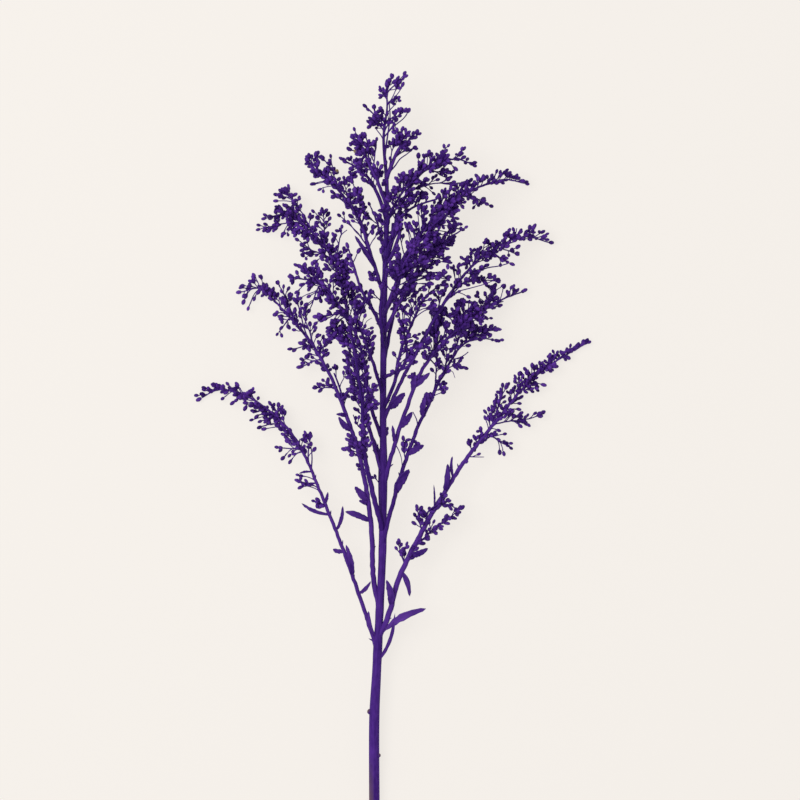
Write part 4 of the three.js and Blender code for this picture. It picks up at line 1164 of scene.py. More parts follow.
# Its bend, in shares of its way: along the axis at its root, and back and upwards before its end.
SIDE_ALONG, SIDE_BACK, SIDE_RAISED = 0.35, 0.3, 0.05


def side_stalk(owner, across, down, seed, depth):
    """A thin stalk to a pixel at the first height at which it passes no other spray, or None.

    depth is how far above or below its axis it ends, in mm.
    """
    gap, share, line = nearest_carrier(owner, across, down)
    root = line.at(max(share - (SIDE_LEAVE * (gap + depth) + SIDE_SETBACK) / line.length, 0))
    for attempt in range(TRIES):
        key = seed + 17 * attempt
        slant = between(-SIDE_SLANT, SIDE_SLANT, key) * (gap + SIDE_SWING)
        slant += depth * (1 if chance(key + 1) < 0.5 else -1)
        end = seen_place(across, down, max(line.at(share)[2] + slant, SIDE_LOWEST))
        way = np.linalg.norm(end - root)
        first = root + line.tangent(share) * way * SIDE_ALONG
        second = end - unit(end - root) * way * SIDE_BACK + UP * way * SIDE_RAISED
        stalk = arch(root, first, second, end, SIDE_RADII)
        if has_room(owner, line_balls(stalk, FINE_BALL_STEP)):
            return stalk
    return None


print("a side stalk tries", TRIES, "heights")

# %% The heads of a bunch
# A line that passes a bunch closer than this, in mm, bears its heads itself, this far before the bunch.
NEAR = 2.6
NEAR_ROOTS = (0.5, 3.5)
BUNCH_ROOTS = (0.5, 1)
BUNCH_SPREAD = 0.75
BUNCH_DEPTH = np.array([1, 1, 1.7])
SHORTEST_STALK = 0.2


def ball_place(seed):
    """A place in a ball of radius 1."""
    way = unit(np.array([between(-1, 1, seed), between(-1, 1, seed + 1), between(-1, 1, seed + 2)]))
    return way * chance(seed + 3) ** (1 / 3)


def bunch(owner, row, seed, depth=0):
    """The heads of a bunch, each aimed at a place of its own in its ball, and a lone one at the middle."""
    across, down, reach, count = row
    gap, share, line = nearest_carrier(owner, across, down)
    stalk = side_stalk(owner, across, down, seed, depth)
    if stalk is None:
        return []
    apart = gap + depth > NEAR
    if apart:
        side_stalks[owner].append(stalk)
        fill(owner, line_balls(stalk, FINE_BALL_STEP))
    placed = []
    for i in range(count):
        for attempt in range(TRIES):
            key = seed + 40 * i + 7 * attempt + 3
            away = ball_place(key) * BUNCH_DEPTH * reach * PIXEL * BUNCH_SPREAD * min(count - 1, 1)
            if apart:
                root = stalk.at(between(*BUNCH_ROOTS, key + 5))
            else:
                root = line.at(max(share - between(*NEAR_ROOTS, key + 5) / line.length, 0))
            way = stalk.at(1) + away - root
            head = Head(root, unit(way), max(np.linalg.norm(way) - HEAD_MIDDLE, SHORTEST_STALK), key)
            if settle(owner, head.balls(fine=True)):
                placed.append(head)
                break
    return placed


print("a bunch is", BUNCH_DEPTH[2], "times as deep as it is wide")

# %% Every bunch
# Bunches that reach this many pixels have a second one behind or before them, this far off in mm.
DEEP_REACH = 4
DEEP_BY = 5
# The thin tips and the two low arms are a single bunch deep.
SHALLOW = (
    "main_stem", "spray_right_top", "spray_left_tip", "spray_left_top", "spray_left_low", "spray_right_low",
)
BUNCH_SEED, DEEP_SEED = 900000, 1900000
PIECE_SEEDS, ROW_SEEDS = 20000, 300

bunched = 0
for place, (name, rows) in enumerate(BUNCHES.items()):
    for i, row in enumerate(rows):
        seed = PIECE_SEEDS * place + ROW_SEEDS * i
        placed = bunch(name, row, BUNCH_SEED + seed)
        if row[2] >= DEEP_REACH and name not in SHALLOW:
            placed += bunch(name, row, DEEP_SEED + seed, DEEP_BY)
        flowers[name] += placed
        bunched += len(placed)
print("heads in bunches:", bunched, "side stalks:", sum(len(own) for own in side_stalks.values()))

# %% [markdown]
# ## The filling
#
# Between the bunches the rule fills the steps that the solids leave empty, and each twig gets a second row
# of heads. This comes last, so that the listed bunches always find their room. Then the windows are
# cleared of whatever the solids' own twigs had put there, and two heads lose their dye, as on the real
# stem.

# %% Fill the steps between
placed_between = flower_all(filling=True)
print("added between:", placed_between, "twigs and single heads")

# %% More heads on each twig
FILL_TWIG_STEP = 2.1
FILL_TWIG_ROOT = 1
FILL_TWIG_BARE = 0.42
FILL_TWIG_SHARE = 0.8
FILL_TWIG_ANGLES = (0.5, 2.2)
FILL_TWIG_FORWARD = (0.9, 1.9)
FILL_TWIG_STALK = (0.6, 2.4)


def fill_twig(owner, twig):
    """More heads on a twig, between and opposite those that it has."""
    for i in range(1, int((twig.line.length - FILL_TWIG_ROOT) // FILL_TWIG_STEP) + 1):
        share = 1 - i * FILL_TWIG_STEP / twig.line.length
        if share < FILL_TWIG_BARE:
            break
        for side in (1, -1):
            key = twig.seed + 100 + 13 * i + side
            if chance(key) > FILL_TWIG_SHARE:
                continue
            angle = side * between(*FILL_TWIG_ANGLES, key + 1)
            way = outward(twig.line, share, angle, between(*FILL_TWIG_FORWARD, key + 2))
            head = Head(twig.line.at(share), way, between(*FILL_TWIG_STALK, key + 3), key)
            if not in_window(head.middle()) and settle(owner, head.balls(fine=True)):
                twig.heads.append(head)


twigs = [(name, piece) for name, placed in flowers.items() for piece in placed if isinstance(piece, Twig)]
for name, twig in twigs:
    fill_twig(name, twig)
print("twigs:", len(twigs), "with", sum(len(twig.heads) for _, twig in twigs), "heads")

# %% Clear the windows
def heads_of(piece):
    return piece.heads if isinstance(piece, Twig) else [piece]


def stands_clear(head):
    return not in_window(head.middle())


for _, twig in twigs:
    twig.heads = [head for head in twig.heads if stands_clear(head)]
for name, placed in flowers.items():
    flowers[name] = [piece for piece in placed if any(stands_clear(head) for head in heads_of(piece))]
print("heads in all:", sum(len(heads_of(piece)) for placed in flowers.values() for piece in placed))

# %% Heads that the dye has missed
# A head: the spray that bears it and its pixel, across and down. The highest one near the pixel is taken.
SPECKS = [("spray_left_high", 338, 174), ("spray_left_tip", 355, 152)]
SPECK_REACH = 4
SPECK_SHARE = 0.85

for owner, across, down in SPECKS:
    heads = [head for piece in flowers[owner] for head in heads_of(piece)]
    near = [head for head in heads if np.linalg.norm(seen_at(head.middle()) - (across, down)) < SPECK_REACH]
    speck = max(near, key=lambda head: head.middle()[2])
    speck.undyed = SPECK_SHARE
    print("undyed head on", owner, "at", speck.middle().round(1), "mm")

# %% [markdown]
# ## Making surfaces
#
# A piece's surface is gathered as points and faces, and turned into one mesh at the end. Each point also
# keeps three things for the materials: its tint, which differs from bud to bud, its undyed share, and
# its fibre place, which runs round and along each twig. A texture that reads the fibre place follows
# every bend, which no texture laid over the whole plant could do.

# %% Gather and make a mesh
STALK_FINISH, BUD_FINISH, LEAF_FINISH = range(3)
TABLE_GAP = 0.05


class Growth:
    """The surface of one piece while it is gathered."""

    def __init__(self):
        self.points, self.faces, self.finishes = [], [], []
        self.tints, self.undyed, self.fibres = [], [], []
        self.count = 0

    def add(self, points, faces, finish, tint, fibre, undyed=0.0):
        points = np.asarray(points, float)
        self.points.append(points)
        self.faces += [tuple(corner + self.count for corner in face) for face in faces]
        self.finishes += [finish] * len(faces)
        self.tints.append(np.broadcast_to(tint, len(points)))
        self.undyed.append(np.broadcast_to(undyed, len(points)))
        self.fibres.append(np.asarray(fibre, float))
        self.count += len(points)

    def mesh(self, name, materials):
        made = bpy.data.meshes.new(name)
        places = np.concatenate(self.points)
        places[:, 2] = np.maximum(places[:, 2], TABLE_GAP)
        made.from_pydata((places - MIDDLE) * MM, [], self.faces)
        made.polygons.foreach_set("material_index", self.finishes)
        made.polygons.foreach_set("use_smooth", [True] * len(self.faces))
        for key, kind, field, rows in (
            ("tint", "FLOAT", "value", self.tints),
            ("undyed", "FLOAT", "value", self.undyed),
            ("fibre", "FLOAT_VECTOR", "vector", self.fibres),
        ):
            layer = made.attributes.new(key, kind, "POINT")
            layer.data.foreach_set(field, np.concatenate(rows).astype(np.float32).ravel())
        for material in materials:
            made.materials.append(material)
        made.update()
        piece = bpy.data.objects.new(name, made)
        bpy.context.scene.collection.objects.link(piece)
        return piece


print("finishes: stalk, bud and leaf")

# %% Tubes
FIBRE_STEP = 0.1
# So many places at which the fibres of a tube may start, one for each seed.
TUBE_STARTS = 97


def ring_frames(points):
    """For each point of a line, two directions square to it that don't twist from one to the next."""
    tangents = np.gradient(points, axis=0)
    tangents /= np.maximum(np.linalg.norm(tangents, axis=1, keepdims=True), TINY)
    side = square_pair(tangents[0])[0]
    firsts = []
    for tangent in tangents:
        side = unit(side - tangent * np.dot(side, tangent))
        firsts.append(side)
    firsts = np.array(firsts)
    return firsts, np.cross(tangents, firsts)


def ring_angles(sides):
    return 2 * math.pi * np.arange(sides) / sides


def ring_faces(rings, sides):
    faces = []
    for i in range(rings - 1):
        for j in range(sides):
            here, beside = i * sides + j, i * sides + (j + 1) % sides
            faces.append((here, beside, beside + sides, here + sides))
    faces.append(tuple(range(sides - 1, -1, -1)))
    faces.append(tuple(range((rings - 1) * sides, rings * sides)))
    return faces


def tube(growth, points, radii, sides, finish, tint, seed, relief=None, undyed=0.0):
    """A closed tube along points. relief, one row a ring, makes its section less than round."""
    points = np.asarray(points, float)
    firsts, seconds = ring_frames(points)
    cosines, sines = np.cos(ring_angles(sides))[None], np.sin(ring_angles(sides))[None]
    ring = firsts[:, None] * cosines[..., None] + seconds[:, None] * sines[..., None]
    swell = np.ones((len(points), sides)) if relief is None else relief
    out = np.asarray(radii, float)[:, None] * swell
    places = points[:, None] + out[:, :, None] * ring
    reach = np.concatenate([[0], np.cumsum(np.linalg.norm(np.diff(points, axis=0), axis=1))])
    along = reach[:, None] * FIBRE_STEP + seed % TUBE_STARTS
    fibre = np.stack(np.broadcast_arrays(cosines, sines, along), -1).reshape(-1, 3)
    growth.add(places.reshape(-1, 3), ring_faces(len(points), sides), finish, tint, fibre, undyed)


print("a tube of 4 rings and 5 sides has", len(ring_faces(4, 5)), "faces")

# %% [markdown]
# ## A bud
#
# A closed goldenrod head is an egg of overlapping scales, about 3.2 mm long and 2.1 mm thick, with a blunt
# tip where the petals are still folded. One egg is modelled as rings whose corners stand in and out by
# turns, which gives the overlap of the scales, and every bud of the plant is a turned and sized copy.

# %% One bud
BUD_SIDES = 8
# Share of the length, and the egg's width there as a share of its widest.
BUD_PROFILE = [(0, 0.34), (0.1, 0.72), (0.3, 0.97), (0.54, 1), (0.78, 0.86), (0.94, 0.52), (1, 0.2)]
BUD_SCALES = 0.05
# Where a head that the dye has missed keeps its own colour: nothing below the first share of its length,
# all of it above the second.
UNDYED_FROM, UNDYED_TO = 0.45, 0.9


def bud_rings():
    rings = []
    for i, (share, width) in enumerate(BUD_PROFILE):
        for j in range(BUD_SIDES):
            angle = 2 * math.pi * j / BUD_SIDES
            inner = 0 < i < len(BUD_PROFILE) - 1
            out = width * (1 + (BUD_SCALES if (i + j) % 2 else -BUD_SCALES) * inner)
            rings.append((out * math.cos(angle), out * math.sin(angle), share))
    return np.array(rings)


BUD = bud_rings()
BUD_FACES = ring_faces(len(BUD_PROFILE), BUD_SIDES)
UNDYED_AREA = np.clip((BUD[:, 2] - UNDYED_FROM) / (UNDYED_TO - UNDYED_FROM), 0, 1)
print("one bud:", len(BUD), "points, scales stand out by", BUD_SCALES)

# %% A bud on its stalk
BUD_LENGTH = 3.5
BUD_RADIUS = 1.16
BUD_SIZES = (0.76, 1.06)
BUD_LENGTHS = (0.92, 1.08)
BUD_WIDTHS = (0.9, 1.1)
BUD_STALK_RADIUS = 0.26
BUD_STALK_WIDTHS = (1.2, 1, 1.3)
BUD_STALK_SIDES = 4
BUD_STALK_LEAST = 0.5
# How far a bud sways off its line, and the shares of that at its foot and in the way it looks.
SWAY, FOOT_SWAY, LOOK_SWAY = 0.35, 0.5, 0.4
STALK_IN_BUD = 0.2
TIP_STALK = -0.8
BUD_FIBRE = (1, 1, 2)
BUD_STARTS = 89


def bud(growth, head):
    """A bud on its stalk, which bends a little on the way out."""
    seed = head.seed
    size = between(*BUD_SIZES, seed + 30)
    length = BUD_LENGTH * size * between(*BUD_LENGTHS, seed + 31)
    radius = BUD_RADIUS * size * between(*BUD_WIDTHS, seed + 32)
    first, second = square_pair(head.direction)
    sway = (first * between(-1, 1, seed + 33) + second * between(-1, 1, seed + 34)) * SWAY
    reach = max(head.stalk + HEAD_LENGTH - length, BUD_STALK_LEAST)
    base = head.root + head.direction * reach + sway * FOOT_SWAY
    middle = (head.root + base) / 2 + sway
    way = unit(head.direction + sway * LOOK_SWAY)
    first, second = square_to(way, first)
    tint = chance(seed + 35)
    places = base + first * BUD[:, :1] * radius + second * BUD[:, 1:2] * radius + way * BUD[:, 2:] * length
    fibre = BUD * BUD_FIBRE + np.array([0, 0, seed % BUD_STARTS])
    growth.add(places, BUD_FACES, BUD_FINISH, tint, fibre, head.undyed * UNDYED_AREA)
    stalk_points = [head.root, middle, base + way * STALK_IN_BUD]
    stalk_radii = [BUD_STALK_RADIUS * width for width in BUD_STALK_WIDTHS]
    tube(growth, stalk_points, stalk_radii, BUD_STALK_SIDES, STALK_FINISH, tint, seed)


def tip_bud(growth, line, seed):
    """The bud at the end of an axis or a fork, which sits a little back on it."""
    bud(growth, Head(line.at(1), line.tangent(1), TIP_STALK, seed))


print("buds are", [round(BUD_LENGTH * size, 1) for size in BUD_SIZES], "mm long")

# %% [markdown]
# ## Twigs, axes and dry scales
#
# Every stalk of the plant is a tube, but none is a straight rod. A twig hangs a little and turns up to its
# end. An axis has small knees, as real ones have where their twigs leave, and flares at its root. Where a
# leaf has dropped, a dry scale stays on the bare axis, and a tiny three-ringed tube is enough for it.

# %% Twigs and axes as tubes
TWIG_BOW = 0.07
TWIG_BOWS = (0.2, 1.4)
TWIG_RINGS = 5
TWIG_SIDES = 5
AXIS_RING_STEP = 2.5
AXIS_LEAST_RINGS = 6
AXIS_SIDES = 8
AXIS_FLARE = 0.35
FORK_FLARE = 0.2
FLARE_REACH = 4
KNEE = 0.5


def twig_surface(growth, twig):
    """A twig that hangs a little below its straight line and turns up to its end."""
    first, _ = square_to(twig.direction, UP)
    bow = -first * twig.line.length * TWIG_BOW * between(*TWIG_BOWS, twig.seed + 41)
    shares = np.linspace(0, 1, TWIG_RINGS)
    points = twig.line.along(shares) + bow * np.sin(math.pi * shares)[:, None]
    radii = np.linspace(*TWIG_RADII, TWIG_RINGS)
    tube(growth, points, radii, TWIG_SIDES, STALK_FINISH, chance(twig.seed + 42), twig.seed)
    for head in twig.heads:
        share = np.linalg.norm(head.root - twig.line.at(0)) / twig.line.length
        head.root = head.root + bow * math.sin(math.pi * min(share, 1))
        bud(growth, head)


def axis_surface(growth, line, seed, flare=AXIS_FLARE):
    """An axis whose places are shifted a little, which gives it its small knees."""
    count = max(AXIS_LEAST_RINGS, round(line.length / AXIS_RING_STEP))
    shares = np.linspace(0, 1, count)
    points = line.along(shares)
    first, second = square_to(line.tangent(0.5), ABOVE)
    for i in range(1, count - 1):
        points[i] += (first * (chance(seed + i) - 0.5) + second * (chance(seed + i + 500) - 0.5)) * KNEE
    root_swell = 1 + flare * np.exp(-shares * line.length / FLARE_REACH)
    tube(growth, points, line.radius(shares) * root_swell, AXIS_SIDES, STALK_FINISH, chance(seed), seed)


print("twigs bow by", TWIG_BOW, "of their length")

# %% Dry scales
BRACT_STEP = (4, 8)
BRACT_LENGTH = (1.6, 3.6)
BRACT_LEAN = (1.1, 2.4)
BRACT_RADII = (0.62, 0.5, 0.14)
BRACT_SIDES = 5
# Shares: how deep it sits in the axis, how far its tip bends off, and how light it may be.
BRACT_SEAT, BRACT_BEND, BRACT_TINT = 0.5, 0.25, 0.5


def bracts(growth, line, end_share, seed):
    """The small dry scales that stand off a bare axis wherever a leaf has dropped."""
    reach = between(*BRACT_STEP, seed)
    i = 0
    while reach < end_share * line.length:
        i += 1
        key = seed + 11 * i
        share = reach / line.length
        way = outward(line, share, between(-math.pi, math.pi, key), between(*BRACT_LEAN, key + 1))
        root = line.at(share) + way * line.radius(share) * BRACT_SEAT
        length = between(*BRACT_LENGTH, key + 2)
        bend = outward(line, share, between(-math.pi, math.pi, key + 3), 0) * BRACT_BEND * length
        points = [root, root + way * length * 0.5 + bend * 0.5, root + way * length + bend]
        tube(growth, points, BRACT_RADII, BRACT_SIDES, LEAF_FINISH, chance(key + 4) * BRACT_TINT, key)
        reach += between(*BRACT_STEP, key + 5)


print("dry scales are", *BRACT_LENGTH, "mm long")

# %% [markdown]
# ## A leaf
#
# The leaves are small lances that dried on the stem: folded along the midrib, arched, and a little
# curled. A blade is a row of thin sections, so it has two faces and a true edge, and its tip can twist.

# %% Leaf blades
LEAF_THICKNESS = 0.55
LEAF_RINGS = 15
# Corners of a half section: how far out, and how far up as a share of the half width.
LEAF_SECTION = [(1, 0.3), (0.55, 0.2), (0, 0), (-0.55, 0.2), (-1, 0.3)]
LEAF_BENDS = (-0.08, 0.08)
LEAF_TWISTS = (-0.5, 0.5)
LEAF_CRINKLE = 0.16
# Widths as shares: at the foot, more at the belly, how early the belly is, how full, and at the very tip.
LEAF_FOOT, LEAF_BELLY, LEAF_EARLY, LEAF_FULL, LEAF_TIP = 0.16, 0.84, 0.9, 0.62, 0.2
LEAF_END = 0.999
# A leaf is thinner where it is narrow, and along its edges.
LEAF_THIN = 0.5
LEAF_EDGE = 0.4
LEAF_FIBRE = 3
LEAF_STARTS = 83
# From this height up the plant, in mm, leaves are darker.
DARK_LEAVES_FROM = 185
DARK_LEAF_TINT = 0.3


def leaf_width(share):
    """A lance: a narrow foot, the widest place near the middle and a pointed tip."""
    return LEAF_FOOT + LEAF_BELLY * math.sin(math.pi * min(share, LEAF_END) ** LEAF_EARLY) ** LEAF_FULL


def blade(growth, line, width, seed, shape=()):
    """A blade. shape, if given, holds the petiole's share of the length and the sideways bend."""
    petiole, side_bend = shape or (0, between(*LEAF_BENDS, seed))
    shares = np.linspace(0, 1, LEAF_RINGS)
    points = line.along(shares)
    tangents = np.gradient(points, axis=0)
    bend = square_to(unit(points[-1] - points[0]), ABOVE)[1] * line.length * side_bend
    twist = between(*LEAF_TWISTS, seed + 1)
    places, fibre = [], []
    for ring, (share, point, tangent) in enumerate(zip(shares, points, tangents)):
        upwards, sideways = square_to(unit(tangent), ABOVE)
        turn = twist * share
        over = upwards * math.cos(turn) + sideways * math.sin(turn)
        across = sideways * math.cos(turn) - upwards * math.sin(turn)
        wide = leaf_width(max(share - petiole, 0) / (1 - petiole))
        half = width / 2 * wide * (1 if share < 1 else LEAF_TIP)
        half *= 1 + between(-LEAF_CRINKLE, LEAF_CRINKLE, seed + 3 * ring + 5)
        thick = LEAF_THICKNESS / 2 * (1 - LEAF_THIN + LEAF_THIN * wide)
        fold = 1 + between(-1, 1, seed + 3 * ring + 6)
        middle = point + bend * math.sin(math.pi * share)
        for side in (1, -1):
            for out, up in LEAF_SECTION[::side]:
                lift = half * up * fold + side * thick * (LEAF_EDGE if abs(out) == 1 else 1)
                places.append(middle + across * half * out + over * lift)
                fibre.append((out, share * LEAF_FIBRE, seed % LEAF_STARTS))
    sides = 2 * len(LEAF_SECTION)
    tint = chance(seed + 2) * (1 if points[0][1] < DARK_LEAVES_FROM else DARK_LEAF_TINT)
    growth.add(places, ring_faces(LEAF_RINGS, sides), LEAF_FINISH, tint, fibre)


print("a blade has", LEAF_RINGS, "sections")

# %% [markdown]
# ## Dye and fibre
#
# The stem was dyed violet. Dye soaks in unevenly, so the colour shifts in soft blotches over the whole
# plant and in fine streaks along its fibres. Both shifts are needed by every material, so they live in
# one node group. A second group makes the relief of the fibres.

# %% Node helpers
def linear(red, green, blue):
    """A colour given in the usual 0 to 255 steps, as the linear values that a shader takes."""
    steps = [value / 255 for value in (red, green, blue)]
    return [v / 12.92 if v <= 0.04045 else ((v + 0.055) / 1.055) ** 2.4 for v in steps] + [1.0]


def node(tree, kind, values=(), **settings):
    """A shader node with its settings and then the values of its inputs."""
    made = tree.nodes.new("ShaderNode" + kind)
    for label, setting in settings.items():
        setattr(made, label, setting)
    for label, value in dict(values).items():
        made.inputs[label].default_value = value
    return made


def group_of(name, inputs, outputs):
    """A new group with its named sockets, and the nodes at its start and its end."""
    tree = bpy.data.node_groups.new(name, "ShaderNodeTree")
    for label, kind, value in inputs:
        socket = tree.interface.new_socket(name=label, in_out="INPUT", socket_type=kind)
        if value is not None:
            socket.default_value = value
    for label, kind in outputs:
        tree.interface.new_socket(name=label, in_out="OUTPUT", socket_type=kind)
    return tree, tree.nodes.new("NodeGroupInput"), tree.nodes.new("NodeGroupOutput")


print("a middle grey is", [round(value, 3) for value in linear(128, 128, 128)])

# %% Uneven dye
BLOTCHES = 60.0
STREAKS = 2.5
# The sums of both noises that give the darkest and the lightest dye.
DARKEST, LIGHTEST = 0.75, 1.25


def dye_group():
    tree, start, end = group_of(
        "uneven_dye",
        [("Place", "NodeSocketVector", None), ("Fibre", "NodeSocketVector", None),
         ("Blotch Scale", "NodeSocketFloat", BLOTCHES), ("Streak Scale", "NodeSocketFloat", STREAKS)],
        [("Mask", "NodeSocketFloat")],
    )
    join = tree.links.new
    blotch = node(tree, "TexNoise", {"Detail": 3})
    streak = node(tree, "TexNoise", {"Detail": 4})
    both = node(tree, "Math", operation="ADD")
    spread = node(tree, "MapRange", {"From Min": DARKEST, "From Max": LIGHTEST})
    join(start.outputs["Place"], blotch.inputs["Vector"])
    join(start.outputs["Blotch Scale"], blotch.inputs["Scale"])
    join(start.outputs["Fibre"], streak.inputs["Vector"])
    join(start.outputs["Streak Scale"], streak.inputs["Scale"])
    join(blotch.outputs[0], both.inputs[0])
    join(streak.outputs[0], both.inputs[1])
    join(both.outputs[0], spread.inputs["Value"])
    join(spread.outputs[0], end.inputs["Mask"])
    return tree


UNEVEN_DYE = dye_group()
print("group:", UNEVEN_DYE.name)

# %% Relief of the fibres
FIBRES = 5.0
FINE_FIBRES = 3
FINE_FIBRE_SHARE = 0.4


def fibre_group():
    tree, start, end = group_of(
        "fibre_relief",
        [("Fibre", "NodeSocketVector", None), ("Scale", "NodeSocketFloat", FIBRES)],
        [("Height", "NodeSocketFloat")],
    )
    join = tree.links.new
    coarse = node(tree, "TexNoise", {"Detail": 2})
    fine = node(tree, "TexNoise", {"Detail": 5})
    closer = node(tree, "Math", {1: FINE_FIBRES}, operation="MULTIPLY")
    both = node(tree, "Math", {1: FINE_FIBRE_SHARE}, operation="MULTIPLY_ADD")
    join(start.outputs["Fibre"], coarse.inputs["Vector"])
    join(start.outputs["Scale"], coarse.inputs["Scale"])
    join(start.outputs["Fibre"], fine.inputs["Vector"])
    join(start.outputs["Scale"], closer.inputs[0])
    join(closer.outputs[0], fine.inputs["Scale"])
    join(fine.outputs[0], both.inputs[0])
    join(coarse.outputs[0], both.inputs[2])
    join(both.outputs[0], end.inputs["Height"])
    return tree


FIBRE_RELIEF = fibre_group()
print("group:", FIBRE_RELIEF.name)

# %% [markdown]
# ## Three finishes
#
# Stalks, buds and leaves differ in depth of dye, in gloss and in relief, but they are mixed the same way:
# a dark and a light dye blended by the uneven mask, pushed by the tint of the bud or twig, and a bare
# plant colour wherever the dye has missed. So one function makes all three from their own values.

# %% A dyed material
KEPT_ON_POINTS = ("fibre", "tint", "undyed")
TINT_SHARE = 0.5
ROUGHNESS_LESS, ROUGHNESS_MORE = 0.08, 0.1
RELIEF_STREAKS = 1.6
RELIEF_DEPTH = 0.0003
PLANT_SHINE = 0.08


def plant_material(name, dark, light, bare, roughness, streaks, relief):
    """A finish from its three colours, its roughness, the scale of its streaks and its relief."""
    material = bpy.data.materials.new(name)
    material.use_nodes = True
    tree = material.node_tree
    join = tree.links.new
    shader = tree.nodes["Principled BSDF"]
    shader.inputs["Specular IOR Level"].default_value = PLANT_SHINE
    place = node(tree, "TexCoord")
    fibre, tint, undyed = [node(tree, "Attribute", attribute_name=key) for key in KEPT_ON_POINTS]

    dye = node(tree, "Group", {"Blotch Scale": BLOTCHES, "Streak Scale": streaks}, node_tree=UNEVEN_DYE)
    join(place.outputs["Object"], dye.inputs["Place"])
    join(fibre.outputs["Vector"], dye.inputs["Fibre"])
    blend = node(tree, "Mix", {"Factor": TINT_SHARE}, data_type="FLOAT")
    join(dye.outputs["Mask"], blend.inputs["A"])
    join(tint.outputs["Fac"], blend.inputs["B"])
    dyes = node(tree, "Mix", {"A": linear(*dark), "B": linear(*light)}, data_type="RGBA")
    join(blend.outputs["Result"], dyes.inputs["Factor"])
    missed = node(tree, "Mix", {"B": linear(*bare)}, data_type="RGBA")
    join(undyed.outputs["Fac"], missed.inputs["Factor"])
    join(dyes.outputs["Result"], missed.inputs["A"])
    join(missed.outputs["Result"], shader.inputs["Base Color"])

    ends = {"To Min": roughness - ROUGHNESS_LESS, "To Max": roughness + ROUGHNESS_MORE}
    rough = node(tree, "MapRange", ends)
    join(dye.outputs["Mask"], rough.inputs["Value"])
    join(rough.outputs[0], shader.inputs["Roughness"])

    fibres = node(tree, "Group", {"Scale": streaks * RELIEF_STREAKS}, node_tree=FIBRE_RELIEF)
    join(fibre.outputs["Vector"], fibres.inputs["Fibre"])
    bump = node(tree, "Bump", {"Strength": relief, "Distance": RELIEF_DEPTH})
    join(fibres.outputs["Height"], bump.inputs["Height"])
    join(bump.outputs["Normal"], shader.inputs["Normal"])
    return material


print("a material reads from each point:", *KEPT_ON_POINTS)

# %% The three finishes
stalk_dye = plant_material(
    "stalk_dye", dark=(44, 12, 98), light=(94, 52, 154), bare=(112, 88, 84), roughness=0.62, streaks=2.2,
    relief=0.55,
)
bud_dye = plant_material(
    "bud_dye", dark=(30, 2, 80), light=(104, 58, 168), bare=(168, 150, 70), roughness=0.62, streaks=1.6,
    relief=0.4,
)
leaf_dye = plant_material(
    "leaf_dye", dark=(46, 16, 100), light=(106, 62, 164), bare=(120, 110, 60), roughness=0.58, streaks=1.5,
    relief=0.6,
)
FINISHES = [stalk_dye, bud_dye, leaf_dye]
print("materials:", [material.name for material in FINISHES])

# %% [markdown]
# ## The stalk
#
# The stalk is not a round rod. Ribs run down it from every leaf and branch, it swells a little where a
# spray leaves, and it thins towards the tip. One side has lost some dye near the foot and has turned
# brown-grey. The relief of each ring is worked out first and then one tube takes it all.

# %% Stalk surface
STALK_SIDES = 28
STALK_RINGS = 220
STALK_TINT = 0.5
RIBS, BROAD_RIBS = 9, 4
RIB_DEPTH = 0.045
BROAD_RIB_SHARE = 0.6
# The ribs wander round the stalk on their way up: fine ones to and fro, broad ones in one long turn.
RIB_WANDER, RIB_WANDER_LENGTH, BROAD_RIB_LENGTH = 0.4, 60, 90
NODE_SWELL = 0.09
NODE_REACH = 5
FADED_BELOW = 86
FADE_LENGTH = 30
FADED_SHARE = 0.75


def stalk_relief(points, angles):
    rows = []
    for _, height, _ in points:
        ribs = RIB_DEPTH * np.cos(RIBS * angles + RIB_WANDER * math.sin(height / RIB_WANDER_LENGTH))
        ribs += BROAD_RIB_SHARE * RIB_DEPTH * np.cos(BROAD_RIBS * angles + height / BROAD_RIB_LENGTH)
        swell = sum(math.exp(-(((height - row[0]) / NODE_REACH) ** 2)) for row in SPRAYS.values())
        rows.append(1 + ribs + NODE_SWELL * min(swell, 1))
    return np.array(rows)


def stalk_surface(growth):
    points = stem.along(np.linspace(0, 1, STALK_RINGS))
    radii = [stem_radius(point[1]) for point in points]
    angles = ring_angles(STALK_SIDES)
    foot = np.clip((FADED_BELOW - points[:, 1]) / FADE_LENGTH, 0, 1)[:, None]
    left_side = np.clip(-np.sin(angles), 0, 1)[None] ** 0.5
    undyed = (FADED_SHARE * foot * left_side).ravel()
    relief = stalk_relief(points, angles)
    tube(growth, points, radii, STALK_SIDES, STALK_FINISH, STALK_TINT, 1, relief, undyed)


stalk = Growth()
stalk_surface(stalk)
print("stalk:", stalk.count, "points")

# %% Nubs, leaves and twigs of the stalk
# A nub: its height, its side, how far it stands out and its radius.
NUBS = [(83, 1, 1.5, 1.2), (110, -1, 1.8, 1.6)]
# Its rings: share of its length, share of its radius, and how dry it is there.
NUB_RINGS = [(0, 1.2, 0), (0.6, 1.1, 0), (0.8, 1, 0.1), (0.93, 0.8, 0.6), (1, 0.4, 0.9)]
NUB_SIDES = 8
NUB_TINT = 0.4
NUB_LEAN = (0.6, 0.3)


def nub(growth, height, side, out, radius):
    """A blunt stub where a side shoot once grew, with a dry tip."""
    centre = stem.at(stem.share_at(0, height))
    way = unit(np.array([side, *NUB_LEAN]))
    reach = stem_radius(height) + out
    points = [centre + way * reach * share for share, _, _ in NUB_RINGS]
    radii = [radius * width for _, width, _ in NUB_RINGS]
    dry = np.repeat([dryness for _, _, dryness in NUB_RINGS], NUB_SIDES)
    tube(growth, points, radii, NUB_SIDES, STALK_FINISH, NUB_TINT, height, None, dry)


